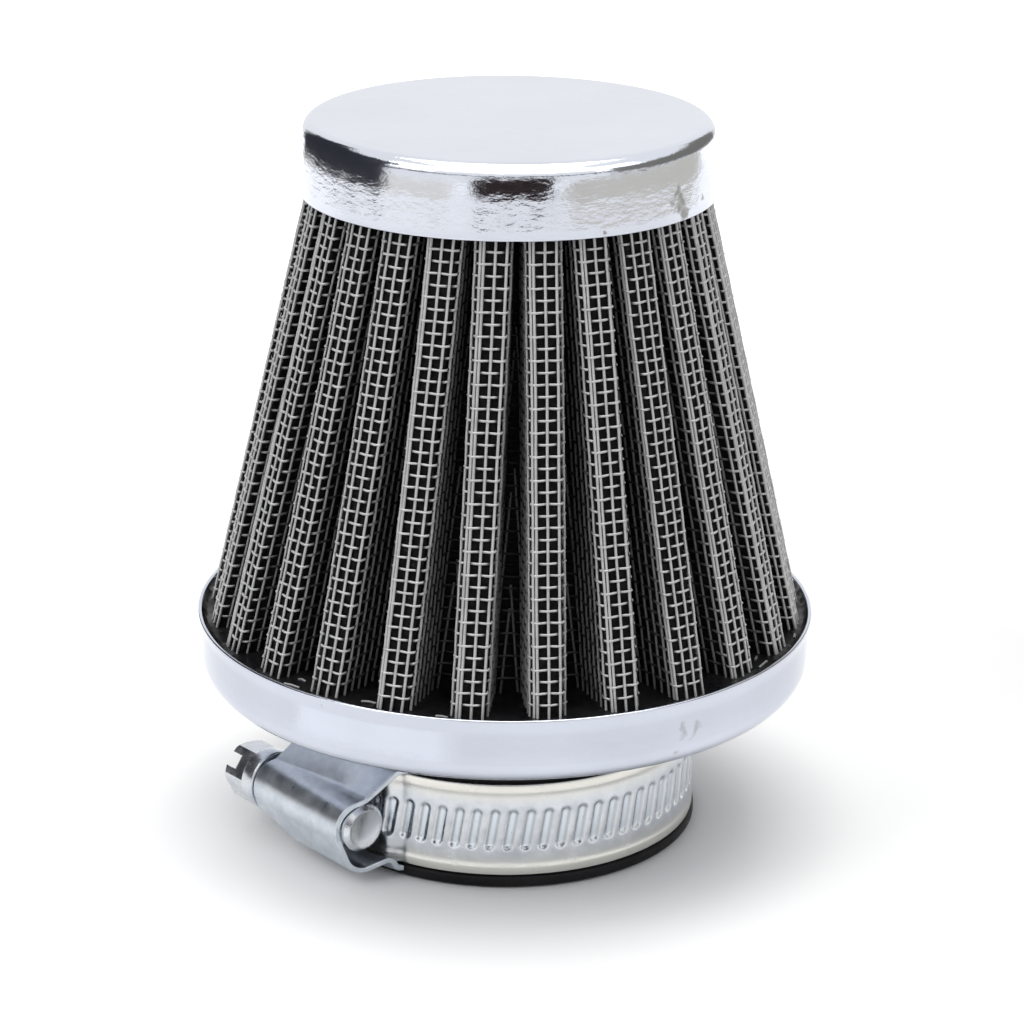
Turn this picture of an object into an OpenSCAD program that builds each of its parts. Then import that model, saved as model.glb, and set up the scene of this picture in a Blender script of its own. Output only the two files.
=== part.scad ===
// Cone air filter for a small engine's intake, with its worm-drive hose clamp.
// The origin is the centre of the neck's lower face, where the intake spigot enters. +Z runs up to the cap.

/* [Rubber neck] */
// Bore that goes over the intake spigot
neck_bore = 42; // [36:0.5:46]
// Rubber wall under the clamp band
neck_wall = 3.8; // [3:0.1:5]
// Length of neck below the pan
neck_drop = 20.7; // [19:0.1:26]
// How far the end lip stands out past the clamp groove
lip_out = 0.9; // [0.6:0.1:1.2]
// Height of the end lip
lip_h = 1.5; // [1.2:0.1:2.2]
// Rounding of the lip's lower edge
lip_round = 0.5; // [0.3:0.1:0.8]
// Rubber left between the bore and the pan's hole
neck_waist = 3; // [2.4:0.1:3.4]
// How far the flange in the pan stands out past the pan's hole
flange_out = 3; // [2:0.1:4]
// Thickness of the flange in the pan
flange_t = 2.5; // [2:0.1:3.5]

/* [Base pan] */
// Outer diameter over the rolled rim
rim_d = 81; // [76:0.5:90]
// Height of the pan, from its floor's underside to its rim
pan_h = 9; // [7.5:0.1:11]
// Outer radius of the corner between wall and floor
pan_corner = 3; // [2:0.1:4]
// Diameter of the rolled bead along the rim
rim_bead = 1; // [0.9:0.05:1.2]
// How far the rim stands above the potting
rim_free = 1.7; // [1.2:0.1:2.5]

/* [End cap] */
// Outer diameter of the cap
cap_d = 53; // [48:0.5:58]
// Height of the cap's skirt, from its lower edge to its flat top
cap_h = 9.3; // [8:0.1:12]
// Outer radius of the cap's shoulder
cap_corner = 2; // [1.5:0.1:4]
// Depth of potting between the cap and the pleats
cap_pot = 3.1; // [2.6:0.1:4.5]
// Thickness of the pressed sheet of cap and pan
sheet_t = 0.65; // [0.5:0.05:0.9]

/* [Pleated pack] */
// Height of the pleats between the two beds of potting
pack_h = 63; // [50:0.5:80]
// Number of pleats round the cone
fold_n = 25; // [22:1:26]
// Outer width of one pleat
fold_w = 4.8; // [4.5:0.1:5]
// Depth of the pleats at the pan
fold_deep = 9; // [7:0.1:10]
// Depth of the pleats at the cap
fold_deep_top = 4.9; // [4:0.1:5.2]
// Gap left between two pleats at their roots under the cap
root_gap = 0.6; // [0.4:0.05:0.7]
// Outer radius of a pleat's crest corners
crest_round = 1; // [0.7:0.05:1.4]
// Direction of the first pleat, in degrees
fold_phase = -82; // [-90:0.5:-70]
// How far all pleats lean round the cone towards the cap, in degrees
fold_lean = 2.4; // [0:0.1:4]
// How much the pleats crowd to the front at the cap, in degrees
fold_crowd = 3; // [0:0.1:4]
// Thickness of the outer wire screen, over its wires
screen_t = 0.5; // [0.45:0.05:0.6]
// Thickness of the filter cloth
media_t = 1; // [0.8:0.05:1.1]
// Thickness of the inner wire screen
inner_t = 0.4; // [0.3:0.05:0.5]

/* [Screen weave] */
// Spacing of the wires that run up the pleats
wire_pitch = 1.4; // [1.2:0.05:1.45]
// Width of one wire
wire_w = 0.5; // [0.3:0.05:0.6]
// How far the wires stand out of the screen's wall
wire_out = 0.2; // [0.15:0.01:0.25]
// Open stretches up each pleat's crest
gap_rows = 4; // [2:1:4]
// Share of a row's height that is open
gap_share = 0.8; // [0.5:0.05:0.9]

/* [Clamp band] */
// Width of the band
band_w = 12.7; // [11:0.1:13]
// Thickness of the band
band_t = 0.65; // [0.55:0.05:0.8]
// Height of the band's lower edge above the neck's lower face
band_z = 1.64; // [1.6:0.02:2.4]
// Width of the raised edge along each side
bead_w = 1.5; // [1:0.1:2]
// How far the raised edges stand proud
bead_out = 0.1; // [0.05:0.01:0.2]
// Spacing of the pressed slots along the band
slot_pitch = 2.25; // [1.8:0.05:3]
// Width of a slot
slot_w = 1.1; // [0.8:0.05:1.3]
// Length of a slot across the band
slot_h = 5.7; // [4.5:0.1:7]
// Depth of a slot
slot_deep = 0.3; // [0.2:0.05:0.4]
// Lean of a slot against the band's edge, in degrees
slot_lean = 7; // [0:1:12]
// Angle that the free tail reaches past the screw, in degrees
tail_reach = 50; // [35:1:70]

/* [Clamp housing and screw] */
// Direction of the clamp's housing round the neck, in degrees
clamp_turn = 221; // [0:1:360]
// Length of the housing along the screw
housing_len = 17.6; // [15:0.1:20]
// How far the housing reaches past the neck's centre plane on the tip's side
housing_fore = 6.1; // [5:0.1:7]
// Thickness of the housing's sheet
housing_t = 0.7; // [0.6:0.05:0.9]
// Radius of the screw's worm, over the thread
worm_r = 3.15; // [2.9:0.05:3.3]
// Thickness of the housing's end wall
wall_t = 0.7; // [0.5:0.05:1]
// How far the end wall lies in from the housing's end
wall_in = 0.2; // [0.1:0.05:0.4]
// How far the screw's axis lies below the middle of the band
screw_drop = 0.2; // [0:0.05:0.4]
// Radius of the screw's journal in the housing's end wall
journal_r = 2.5; // [2:0.05:2.6]
// Width of the screw's head across its flats
head_af = 7; // [6:0.1:8]
// Height of the screw's head
head_h = 4.1; // [3:0.1:5]
// Chamfer round the head's end
head_chamfer = 0.5; // [0.3:0.05:0.8]
// Width of the slot in the screw's head
driver_w = 1.8; // [1.2:0.1:2.2]
// Depth of the slot in the screw's head
driver_deep = 2.2; // [1.5:0.1:2.6]
// Length of the round collar behind the head
collar_t = 2.2; // [0.8:0.1:2.6]
// How far the screw's tip stands out of the housing
tip_out = 1.3; // [0.8:0.1:2]
// Chamfer round the screw's tip
tip_chamfer = 0.55; // [0.3:0.05:0.8]

/* [Clearances] */
// Gap between the layers of the pack
layer_gap = 0.05; // [0.03:0.01:0.1]
// Gap between the pleats and the sheet of the cap and the pan
fold_gap = 0.2; // [0.1:0.05:0.4]
// Gap between rubber, potting and metal
seat_gap = 0.05; // [0.03:0.01:0.1]
// Radial clearance of the screw's journal
journal_gap = 0.05; // [0.02:0.01:0.1]
// Gap between the worm's crest and the band
worm_gap = 0.25; // [0.15:0.05:0.5]
// Gap between the screw's collar and the housing's end
collar_gap = 0.15; // [0.1:0.05:0.4]
// Gap between the worm's end and the housing's end wall
worm_end_gap = 0.2; // [0.1:0.05:0.4]
// Gap between the worm's crest and the housing round it
tube_gap = 0.2; // [0.15:0.05:0.5]
// Gap between the housing's foot and the lower corner of the band
corner_gap = 0.15; // [0.12:0.01:0.4]

/* [Hidden] */
$fn = 96;
eps = 0.01;

// Heights, built up from the neck's lower face
pan_z = neck_drop;
rim_z = pan_z + pan_h;
pack_z = rim_z - rim_free;
pack_top = pack_z + pack_h;
cap_top = pack_top + cap_pot + sheet_t;
cap_z = cap_top - cap_h;

// Radii of neck, pan and cap
bore_r = neck_bore / 2;
groove_r = bore_r + neck_wall;
lip_r = groove_r + lip_out;
hole_r = bore_r + neck_waist;
flange_r = hole_r + flange_out;
bead_lap = 0.1;
pan_r = rim_d / 2 - rim_bead / 2 + bead_lap;
cap_r = cap_d / 2;

// Crest radii of the pleats: clear of the pan's wall at the foot and of the cap's skirt at its edge
crest_foot = pan_r - sheet_t - fold_gap;
crest_edge = cap_r - sheet_t - fold_gap;
crest_head = crest_foot + (crest_edge - crest_foot) * pack_h / (cap_z - pack_z);

// Places on the clamp, in the frame where +X points from the neck to the screw and +Y to its tip
band_r = groove_r + seat_gap;
band_top = band_z + band_w;
over_r = band_r + band_t + seat_gap;
strip_out = over_r + band_t;
screw_x = strip_out + worm_gap + worm_r;
screw_z = band_z + band_w / 2 - screw_drop;
tube_c = worm_r + tube_gap + housing_t / 2;
housing_back = housing_fore - housing_len;
wall_back = housing_back + wall_in;
head_r = head_af / 2 / cos(30);
collar_r = head_r;

// A cup on its mouth: radius, height and the radius of its shoulder
module cup_2d(r, h, corner) {
    square([r, h - corner]);
    square([r - corner, h]);
    translate([r - corner, h - corner]) circle(r = corner);
}

// The half of a cup's section with positive radius
module half_cup_2d(r, h, corner) {
    intersection() {
        cup_2d(r, h, corner);
        square([r + 1, h + 1]);
    }
}

module end_cap() {
    color("gainsboro")
    translate([0, 0, cap_z])
    rotate_extrude()
    difference() {
        half_cup_2d(cap_r, cap_h, cap_corner);
        translate([-eps, -eps])
            half_cup_2d(cap_r - sheet_t + eps, cap_h - sheet_t + eps, cap_corner - sheet_t);
    }
}

module cap_potting() {
    color("#1c1c1e")
    rotate_extrude()
    intersection() {
        translate([0, cap_z])
            half_cup_2d(cap_r - sheet_t - seat_gap, cap_h - sheet_t - seat_gap, cap_corner - sheet_t);
        translate([0, pack_top]) square([cap_r, cap_pot]);
    }
}

module base_pan() {
    color("gainsboro")
    rotate_extrude() {
        difference() {
            translate([0, rim_z]) mirror([0, 1])
                half_cup_2d(pan_r, pan_h, pan_corner);
            translate([0, rim_z + eps]) mirror([0, 1])
                half_cup_2d(pan_r - sheet_t, pan_h - sheet_t + eps, pan_corner - sheet_t);
            translate([0, pan_z - 1]) square([hole_r, sheet_t + 2]);
        }
        translate([rim_d / 2 - rim_bead / 2, rim_z - rim_bead / 2]) circle(d = rim_bead, $fn = 32);
    }
}

module base_potting() {
    color("#1c1c1e")
    rotate_extrude()
    difference() {
        translate([0, rim_z]) mirror([0, 1])
            half_cup_2d(pan_r - sheet_t - seat_gap, pan_h - sheet_t - seat_gap, pan_corner - sheet_t);
        translate([-1, pack_z]) square([rim_d, pan_h]);
        translate([-1, pan_z]) square([flange_r + seat_gap + 1, pan_h + 1]);
    }
}

module rubber_neck() {
    pan_top = pan_z + sheet_t;
    color("#202124")
    difference() {
        rotate_extrude() {
            square([lip_r - lip_round, lip_h]);
            translate([0, lip_round]) square([lip_r, lip_h - lip_round]);
            translate([lip_r - lip_round, lip_round]) circle(r = lip_round, $fn = 32);
            square([groove_r, pan_z - seat_gap]);
            square([hole_r - seat_gap, pan_top + 1]);
            translate([0, pan_top + seat_gap]) square([flange_r, flange_t]);
        }
        translate([0, 0, -1]) cylinder(r = bore_r, h = pan_top + flange_t + 2);
    }
}

// Where fold k points at share s of the pack's height
function fold_at(k, s) =
    let (a = 360 * k / fold_n + fold_phase)
    a + s * (fold_lean - fold_crowd * cos(a));

function crest_at(s) = crest_foot + (crest_head - crest_foot) * s;
function valley_at(s) = crest_at(s) - fold_deep + (fold_deep - fold_deep_top) * s;

// Half the width of a fold at its root, where the folds crowd under the cap
function root_at(s) = min(fold_w / 2, (2 * PI * valley_at(s) / fold_n - root_gap) / 2);

// A point beside fold k: rho out from the axis along the fold and tau across it
function beside(k, s, rho, tau) =
    let (a = fold_at(k, s))
    [rho * cos(a) - tau * sin(a), rho * sin(a) + tau * cos(a)];

// Places across a fold, [rho, tau], at inset t from the pack's outer face; side is -1 or 1
function fold_corner(s, t, side) =
    let (r = max(crest_round - t, 0.1),
         c = crest_at(s) - t - r,
         h = fold_w / 2 - t - r)
    [for (a = [0, 45, 90]) [c + r * sin(a), side * (h + r * cos(a))]];

function fold_root(s, t, side) =
    let (v = valley_at(s) - t, h = root_at(s) - t)
    [sqrt(v * v - h * h), side * h];

// A wire's bump on the crest: its two feet and its back
function crest_wire(s, t, out, tau) =
    let (c = crest_at(s) - t)
    [[c, tau - wire_w / 2], [c + out, tau], [c, tau + wire_w / 2]];

// A wire's bump on a fold's side wall, deep below the crest
function side_wire(s, t, out, deep, side) =
    let (c = crest_at(s) - t, h = fold_w / 2 - t)
    [[c - deep - wire_w / 2, side * h], [c - deep, side * (h + out)], [c - deep + wire_w / 2, side * h]];

function flip(list) = [for (i = [len(list) - 1 : -1 : 0]) list[i]];

// The plain outline of all folds at share s and inset t
function fold_ring(s, t) =
    [for (k = [0 : fold_n - 1])
        for (p = concat([fold_root(s, t, -1)], fold_corner(s, t, -1), flip(fold_corner(s, t, 1)),
                        [fold_root(s, t, 1)], [[-1, 0]]))
            p[0] < 0
            ? (valley_at(s) - t) * [cos((fold_at(k, s) + fold_at(k + 1, s)) / 2),
                                    sin((fold_at(k, s) + fold_at(k + 1, s)) / 2)]
            : beside(k, s, p[0], p[1])];

// The same outline with the bumps of the wires on it
function wire_ring(s, t, out) =
    let (side_deep = crest_round + wire_pitch)
    [for (k = [0 : fold_n - 1])
        for (p = concat([fold_root(s, t, -1)], side_wire(s, t, out, side_deep, -1),
                        fold_corner(s, t, -1),
                        crest_wire(s, t, out, -wire_pitch / 2), crest_wire(s, t, out, wire_pitch / 2),
                        flip(fold_corner(s, t, 1)),
                        flip(side_wire(s, t, out, side_deep, 1)),
                        [fold_root(s, t, 1)], [[-1, 0]]))
            p[0] < 0
            ? (valley_at(s) - t) * [cos((fold_at(k, s) + fold_at(k + 1, s)) / 2),
                                    sin((fold_at(k, s) + fold_at(k + 1, s)) / 2)]
            : beside(k, s, p[0], p[1])];

// A wall lofted from the pan to the cap, between an outer and an inner outline of as many points
module lofted_wall(foot_out, head_out, foot_in, head_in) {
    n = len(foot_out);
    lift = function (ring, z) [for (p = ring) [p[0], p[1], z]];
    points = concat(lift(foot_out, pack_z), lift(head_out, pack_top),
                    lift(foot_in, pack_z), lift(head_in, pack_top));
    faces = [for (i = [0 : n - 1])
        let (j = (i + 1) % n)
            for (f = [[i, i + n, j + n], [i, j + n, j],
                      [i + 2 * n, j + 3 * n, i + 3 * n], [i + 2 * n, j + 2 * n, j + 3 * n],
                      [i + n, i + 3 * n, j + 3 * n], [i + n, j + 3 * n, j + n],
                      [i, j + 2 * n, i + 2 * n], [i, j, j + 2 * n]]) f];
    polyhedron(points = points, faces = faces, convexity = 20);
}

module outer_screen() {
    wall_in = wire_out;
    row_h = pack_h / (gap_rows + 1);
    gap_w = wire_pitch - wire_w;
    lean = atan((crest_foot - crest_head) / pack_h);
    color("darkgray")
    difference() {
        lofted_wall(wire_ring(0, wall_in, wire_out), wire_ring(1, wall_in, wire_out),
                    wire_ring(0, screen_t, 0), wire_ring(1, screen_t, 0));
        for (k = [0 : fold_n - 1])
            for (row = [1 : gap_rows]) {
                s = row / (gap_rows + 1);
                rotate([0, 0, fold_at(k, s)])
                translate([crest_at(s), 0, pack_z + s * pack_h])
                rotate([0, -lean, 0])
                    cube([4 * screen_t, gap_w, row_h * gap_share], center = true);
            }
    }
}

module filter_media() {
    out = screen_t + layer_gap;
    color("#161616")
    lofted_wall(fold_ring(0, out), fold_ring(1, out),
                fold_ring(0, out + media_t), fold_ring(1, out + media_t));
}

module inner_screen() {
    out = screen_t + media_t + 2 * layer_gap;
    color("gray")
    lofted_wall(fold_ring(0, out), fold_ring(1, out),
                fold_ring(0, out + inner_t), fold_ring(1, out + inner_t));
}

// The band is one strip: its fixed end lies under the housing, it goes once round the neck,
// climbs over its own end and passes under the screw to its free tail. Its first stretch has no slots.
strip_start = 13;
climb = 6;
plain_turn = 200;
strip_turn = 360 + strip_start + tail_reach;

function strip_r(u) = u < 360 - climb ? band_r
    : u < 360 ? band_r + (over_r - band_r) * (u - 360 + climb) / climb
    : over_r;

function strip_edge(out) =
    let (n = ceil(strip_turn / 3))
    [for (i = [0 : n])
        let (u = strip_turn * i / n, a = strip_start - u)
        (strip_r(u) + out) * [cos(a), sin(a)]];

module strip(z, h, t) {
    translate([0, 0, z])
    linear_extrude(h)
        polygon(concat(strip_edge(0), flip(strip_edge(t))));
}

module clamp_band() {
    thin = band_t - bead_out;
    slot_step = slot_pitch / band_r * 180 / PI;
    slot_n = floor((strip_turn - plain_turn) / slot_step);
    color("silver")
    rotate([0, 0, clamp_turn])
    difference() {
        union() {
            strip(band_z, band_w, thin);
            strip(band_z, bead_w, band_t);
            strip(band_top - bead_w, bead_w, band_t);
        }
        for (i = [1 : slot_n]) {
            u = strip_turn - i * slot_step;
            rotate([0, 0, strip_start - u])
            translate([strip_r(u) + thin, 0, band_z + band_w / 2])
            rotate([slot_lean, 0, 0])
                cube([2 * slot_deep, slot_w, slot_h], center = true);
        }
    }
}

// A bent sheet's middle line: from start [x, z, heading], legs of [length, bend], bends in degrees
function leg_points(s, length, bend) =
    let (n = max(1, ceil(abs(bend) / 10)),
         r = bend == 0 ? 0 : length / bend * 180 / PI)
    [for (i = [1 : n])
        let (a = s[2] + bend * i / n)
        bend == 0
        ? [s[0] + length * cos(a), s[1] + length * sin(a), a]
        : [s[0] + r * (sin(a) - sin(s[2])), s[1] - r * (cos(a) - cos(s[2])), a]];

function walk(s, legs, i = 0) =
    i == len(legs) ? []
    : let (q = leg_points(s, legs[i][0], legs[i][1]))
      concat(q, walk(q[len(q) - 1], legs, i + 1));

function bend_leg(r, bend) = [r * abs(bend) * PI / 180, bend];

// The housing's middle line runs from over the band's top edge, round the screw and under the lower edge.
// Above, a straight rise lies between the saddle's bend and the bend over the band's edge.
wrap_top = 80;
saddle_r = 3;
edge_r = 1;
flange_len = 5;
flange_z = band_top + seat_gap + housing_t / 2;

function round_screw(a, heading) = [screw_x + tube_c * cos(a), screw_z + tube_c * sin(a), heading];

top_start = round_screw(wrap_top, wrap_top + 90);
rise_way = [strip_out - top_start[0] - saddle_r * cos(wrap_top),
            flange_z - edge_r - top_start[1] - saddle_r * sin(wrap_top)];
rise_bends = saddle_r + edge_r;
rise = (atan2(rise_way[1], rise_way[0]) + 360) % 360 - asin(rise_bends / norm(rise_way));
rise_len = sqrt(rise_way * rise_way - rise_bends * rise_bends);
top_path = concat([top_start],
    walk(top_start, [bend_leg(saddle_r, rise - wrap_top - 90), [rise_len, 0],
                     bend_leg(edge_r, 180 - rise), [flange_len, 0]]));

// Below, the heel dips under the screw and rises to a knee that stays clear of the band's lower corner.
wrap_low = -20;
heel_r = 2.7;
heel_lift = 1;
knee_r = 1;
knee_rise = 15;
knee_fall = 60;
toe_r = 0.8;
toe_len = 1.5;
foot_z = band_z - seat_gap - housing_t / 2;
low_start = round_screw(wrap_low, wrap_low - 90);
heel_len = (low_start[1] - heel_r * (1 + sin(wrap_low)) - foot_z - heel_lift) / cos(wrap_low);
heel_path = walk(low_start, [[heel_len, 0], bend_leg(heel_r, -90 - wrap_low), bend_leg(heel_r, -knee_rise)]);
heel_end = heel_path[len(heel_path) - 1];
knee = bend_leg(knee_r, knee_rise + knee_fall);
knee_bend = walk(heel_end, [knee]);
knee_end = knee_bend[len(knee_bend) - 1];
knee_room = knee_end[0] - (knee_end[1] - band_z) / tan(knee_fall)
            - housing_t / 2 / sin(knee_fall) - strip_out - corner_gap;
knee_path = walk(heel_end, [[knee_room / (cos(knee_rise) + sin(knee_rise) / tan(knee_fall)), 0], knee]);
fall_start = knee_path[len(knee_path) - 1];
fall_len = (fall_start[1] - foot_z - toe_r * (1 - cos(knee_fall))) / sin(knee_fall);
foot_path = walk(fall_start, [[fall_len, 0], bend_leg(toe_r, -knee_fall), [toe_len, 0]]);
sheet_line = concat(
    [for (p = flip(top_path)) [p[0], p[1], p[2] - 180]],
    [for (a = [wrap_top - 10 : -10 : wrap_low + 10]) round_screw(a, a - 90)],
    [low_start], heel_path, knee_path, foot_path);

function sheet_side(line, off) = [for (p = line) [p[0] - off * sin(p[2]), p[1] + off * cos(p[2])]];

module housing_sheet_2d() {
    polygon(concat(sheet_side(sheet_line, housing_t / 2), flip(sheet_side(sheet_line, -housing_t / 2))));
}

// Lays a section drawn in the clamp's X and Z along the screw, from y0 to y1
module along_screw(y0, y1) {
    translate([0, y1, 0]) rotate([90, 0, 0]) linear_extrude(y1 - y0) children();
}

module clamp_housing() {
    color("lightsteelblue")
    rotate([0, 0, clamp_turn])
    difference() {
        union() {
            along_screw(housing_back, housing_fore) housing_sheet_2d();
            along_screw(wall_back, wall_back + wall_t)
                translate([screw_x, screw_z]) circle(r = tube_c);
        }
        along_screw(wall_back - 1, wall_back + wall_t + 1)
            translate([screw_x, screw_z]) circle(r = journal_r + journal_gap);
        cylinder(r = groove_r + seat_gap, h = rim_z);
        translate([0, 0, -1]) cylinder(r = lip_r + seat_gap, h = band_z + 1);
    }
}

module clamp_screw() {
    collar_y = housing_back - collar_gap - collar_t;
    worm_y = wall_back + wall_t + worm_end_gap;
    tip_y = housing_fore + tip_out;
    color("#b9bec6")
    rotate([0, 0, clamp_turn])
    translate([screw_x, 0, screw_z])
    rotate([-90, 0, 0]) {
        difference() {
            intersection() {
                translate([0, 0, collar_y - head_h]) cylinder(r = head_r, h = head_h + eps, $fn = 6);
                translate([0, 0, collar_y - head_h])
                rotate_extrude()
                    polygon([[0, 0], [head_af / 2, 0], [head_r, head_chamfer], [head_r, head_h + eps],
                             [0, head_h + eps]]);
            }
            translate([-head_r - 1, -driver_w / 2, collar_y - head_h - 1])
                cube([2 * head_r + 2, driver_w, driver_deep + 1]);
        }
        translate([0, 0, collar_y]) cylinder(r = collar_r, h = collar_t);
        translate([0, 0, collar_y + collar_t - eps])
            cylinder(r = journal_r, h = worm_y - collar_y - collar_t + 2 * eps);
        translate([0, 0, worm_y])
        rotate_extrude()
            polygon([[0, 0], [worm_r, 0], [worm_r, tip_y - worm_y - tip_chamfer],
                     [worm_r - tip_chamfer, tip_y - worm_y], [0, tip_y - worm_y]]);
    }
}

end_cap();
cap_potting();
outer_screen();
filter_media();
inner_screen();
base_pan();
base_potting();
rubber_neck();
clamp_band();
clamp_housing();
clamp_screw();
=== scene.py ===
# Cone air filter: the finishes and the fine forms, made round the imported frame.
import math
import random

import bmesh
import bpy
from mathutils import Matrix, Vector, noise


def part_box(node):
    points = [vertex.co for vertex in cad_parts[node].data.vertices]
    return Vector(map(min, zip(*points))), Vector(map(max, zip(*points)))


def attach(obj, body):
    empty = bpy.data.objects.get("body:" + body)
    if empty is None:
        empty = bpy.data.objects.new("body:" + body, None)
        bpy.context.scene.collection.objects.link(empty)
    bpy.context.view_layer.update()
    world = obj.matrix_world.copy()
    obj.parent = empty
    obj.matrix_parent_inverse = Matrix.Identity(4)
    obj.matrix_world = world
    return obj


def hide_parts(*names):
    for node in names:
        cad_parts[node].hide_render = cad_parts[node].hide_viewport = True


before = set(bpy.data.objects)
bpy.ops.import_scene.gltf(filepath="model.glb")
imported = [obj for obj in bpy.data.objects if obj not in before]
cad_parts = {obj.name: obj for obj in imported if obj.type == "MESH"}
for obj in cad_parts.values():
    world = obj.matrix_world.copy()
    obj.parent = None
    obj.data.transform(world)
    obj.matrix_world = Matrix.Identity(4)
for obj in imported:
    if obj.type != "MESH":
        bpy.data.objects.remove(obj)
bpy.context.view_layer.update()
mm = 0.001  # sizes are in millimetres, except where a note says metres


def boxOf(node):
    low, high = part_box(node)
    return Vector(low) / mm, Vector(high) / mm


capLow, capHigh = boxOf("end_cap")
panLow, panHigh = boxOf("base_pan")
packLow, packHigh = boxOf("filter_media")
neckHigh = boxOf("rubber_neck")[1]
bandLow, bandHigh = boxOf("clamp_band")
packHeight = packHigh.z - packLow.z
print("frame loaded")


# Mesh helpers

def arcPoints(centreR, centreZ, radius, start, end, steps):
    turns = [math.radians(start + (end - start) * i / steps) for i in range(steps + 1)]
    return [(centreR + radius * math.cos(a), centreZ + radius * math.sin(a)) for a in turns]


def meshFrom(name, points, faces, sharp=35, outward=True):
    mesh = bpy.data.meshes.new(name)
    mesh.from_pydata([Vector(p) * mm for p in points], [], faces)
    if outward:
        work = bmesh.new()
        work.from_mesh(mesh)
        bmesh.ops.recalc_face_normals(work, faces=work.faces)
        work.to_mesh(mesh)
        work.free()
    mesh.shade_smooth()
    mesh.set_sharp_from_angle(angle=math.radians(sharp))
    return mesh


def bandFaces(ringA, ringB):
    # quads between two rings of vertex numbers, or a fan where one of them is a single point
    count = max(len(ringA), len(ringB))
    faces = []
    for i in range(count):
        j = (i + 1) % count
        if len(ringA) == 1:
            faces.append((ringA[0], ringB[i], ringB[j]))
        elif len(ringB) == 1:
            faces.append((ringA[i], ringA[j], ringB[0]))
        else:
            faces.append((ringA[i], ringA[j], ringB[j], ringB[i]))
    return faces


def skinOver(rings):
    return [face for a, b in zip(rings, rings[1:]) for face in bandFaces(a, b)]


def turned(profile, steps, closed=True, place=None, shape=None):
    # a profile of (radius, height) spun round; shape bends a radius, place puts a point in the frame
    place = place or (lambda x, y, z: (x, y, z))
    shape = shape or (lambda radius, height, turn: radius)
    points, rings = [], []
    for radius, height in profile:
        count = steps if radius > 0 else 1
        ring = []
        for i in range(count):
            turn = 2 * math.pi * i / steps
            bent = shape(radius, height, turn) if radius > 0 else 0
            ring.append(len(points))
            points.append(place(bent * math.cos(turn), bent * math.sin(turn), height))
        rings.append(ring)
    faces = skinOver(rings)
    if closed:
        faces += bandFaces(rings[-1], rings[0])
    return points, faces


def joined(*parts):
    points, faces = [], []
    for morePoints, moreFaces in parts:
        start = len(points)
        points += morePoints
        faces += [tuple(start + v for v in face) for face in moreFaces]
    return points, faces


def newObject(name, data):
    piece = bpy.data.objects.new(name, data)
    bpy.context.scene.collection.objects.link(piece)
    return piece


def finalMesh(piece):
    # the piece's mesh with its modifiers applied
    graph = bpy.context.evaluated_depsgraph_get()
    return bpy.data.meshes.new_from_object(piece.evaluated_get(graph))


def keepValues(mesh, name, values, kind="FLOAT"):
    layer = mesh.attributes.new(name, kind, "POINT")
    layer.data.foreach_set("vector" if kind == "FLOAT_VECTOR" else "value", values)


def addPiece(name, mesh, finish, body, slotName, *nodes):
    piece = newObject(name, mesh)
    if finish:
        mesh.materials.clear()
        mesh.materials.append(finish)
    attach(piece, body)
    if nodes:
        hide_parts(*nodes)
    return piece


# Geometry Nodes helpers

def newTree(name, **inputs):
    tree = bpy.data.node_groups.new(name, "GeometryNodeTree")
    face = tree.interface
    face.new_socket("Geometry", in_out="INPUT", socket_type="NodeSocketGeometry")
    for label, kind in inputs.items():
        face.new_socket(label.replace("_", " "), in_out="INPUT", socket_type="NodeSocket" + kind)
    face.new_socket("Geometry", in_out="OUTPUT", socket_type="NodeSocketGeometry")
    start = tree.nodes.new("NodeGroupInput")
    return tree, start.outputs, tree.nodes.new("NodeGroupOutput")


def setInput(tree, socket, value):
    # a value is another node's output or a constant
    if isinstance(value, bpy.types.NodeSocket):
        tree.links.new(value, socket)
    else:
        socket.default_value = value


def addNode(tree, kind, settings=None, **values):
    node = tree.nodes.new(kind)
    for key, value in (settings or {}).items():
        setattr(node, key, value)
    for key, value in values.items():
        setInput(tree, node.inputs[key.replace("_", " ")], value)
    return node


def sums(tree, operation, *values):
    node = addNode(tree, "ShaderNodeMath", {"operation": operation})
    for socket, value in zip(node.inputs, values):
        setInput(tree, socket, value)
    return node.outputs[0]


def vectorSums(tree, operation, *values):
    node = addNode(tree, "ShaderNodeVectorMath", {"operation": operation})
    for socket, value in zip(node.inputs, values):
        setInput(tree, socket, value)
    return node.outputs


def times(tree, first, second):
    return sums(tree, "MULTIPLY", first, second)


def endTree(tree, result, geometry, finish):
    real = addNode(tree, "GeometryNodeRealizeInstances", Geometry=geometry)
    done = addNode(tree, "GeometryNodeSetMaterial", Geometry=real.outputs[0], Material=finish)
    tree.links.new(done.outputs[0], result.inputs[0])


def runTree(name, mesh, tree, **values):
    # the tree's result as a plain mesh, with no modifier left
    rough = newObject(name + "Rough", mesh)
    modifier = rough.modifiers.new(name, "NODES")
    modifier.node_group = tree
    for item in tree.interface.items_tree:
        key = item.name.replace(" ", "_")
        if item.in_out == "INPUT" and key in values:
            modifier[item.identifier] = values[key]
    made = finalMesh(rough)
    bpy.data.objects.remove(rough)
    made.name = name
    return made


# Finish helpers

def feed(tree, shader, **values):
    for key, value in values.items():
        setInput(tree, shader.inputs[key.replace("_", " ")], value)


def newFinish(name, colour, metallic, roughness, **more):
    finish = bpy.data.materials.new(name)
    finish.use_nodes = True
    shader = finish.node_tree.nodes["Principled BSDF"]
    feed(finish.node_tree, shader, Base_Color=(*colour, 1), Metallic=metallic, Roughness=roughness, **more)
    return finish, finish.node_tree, shader


def objectPlace(tree):
    return addNode(tree, "ShaderNodeTexCoord").outputs["Object"]


def readValue(tree, name):
    return addNode(tree, "ShaderNodeAttribute", {"attribute_name": name}).outputs["Fac"]


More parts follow.
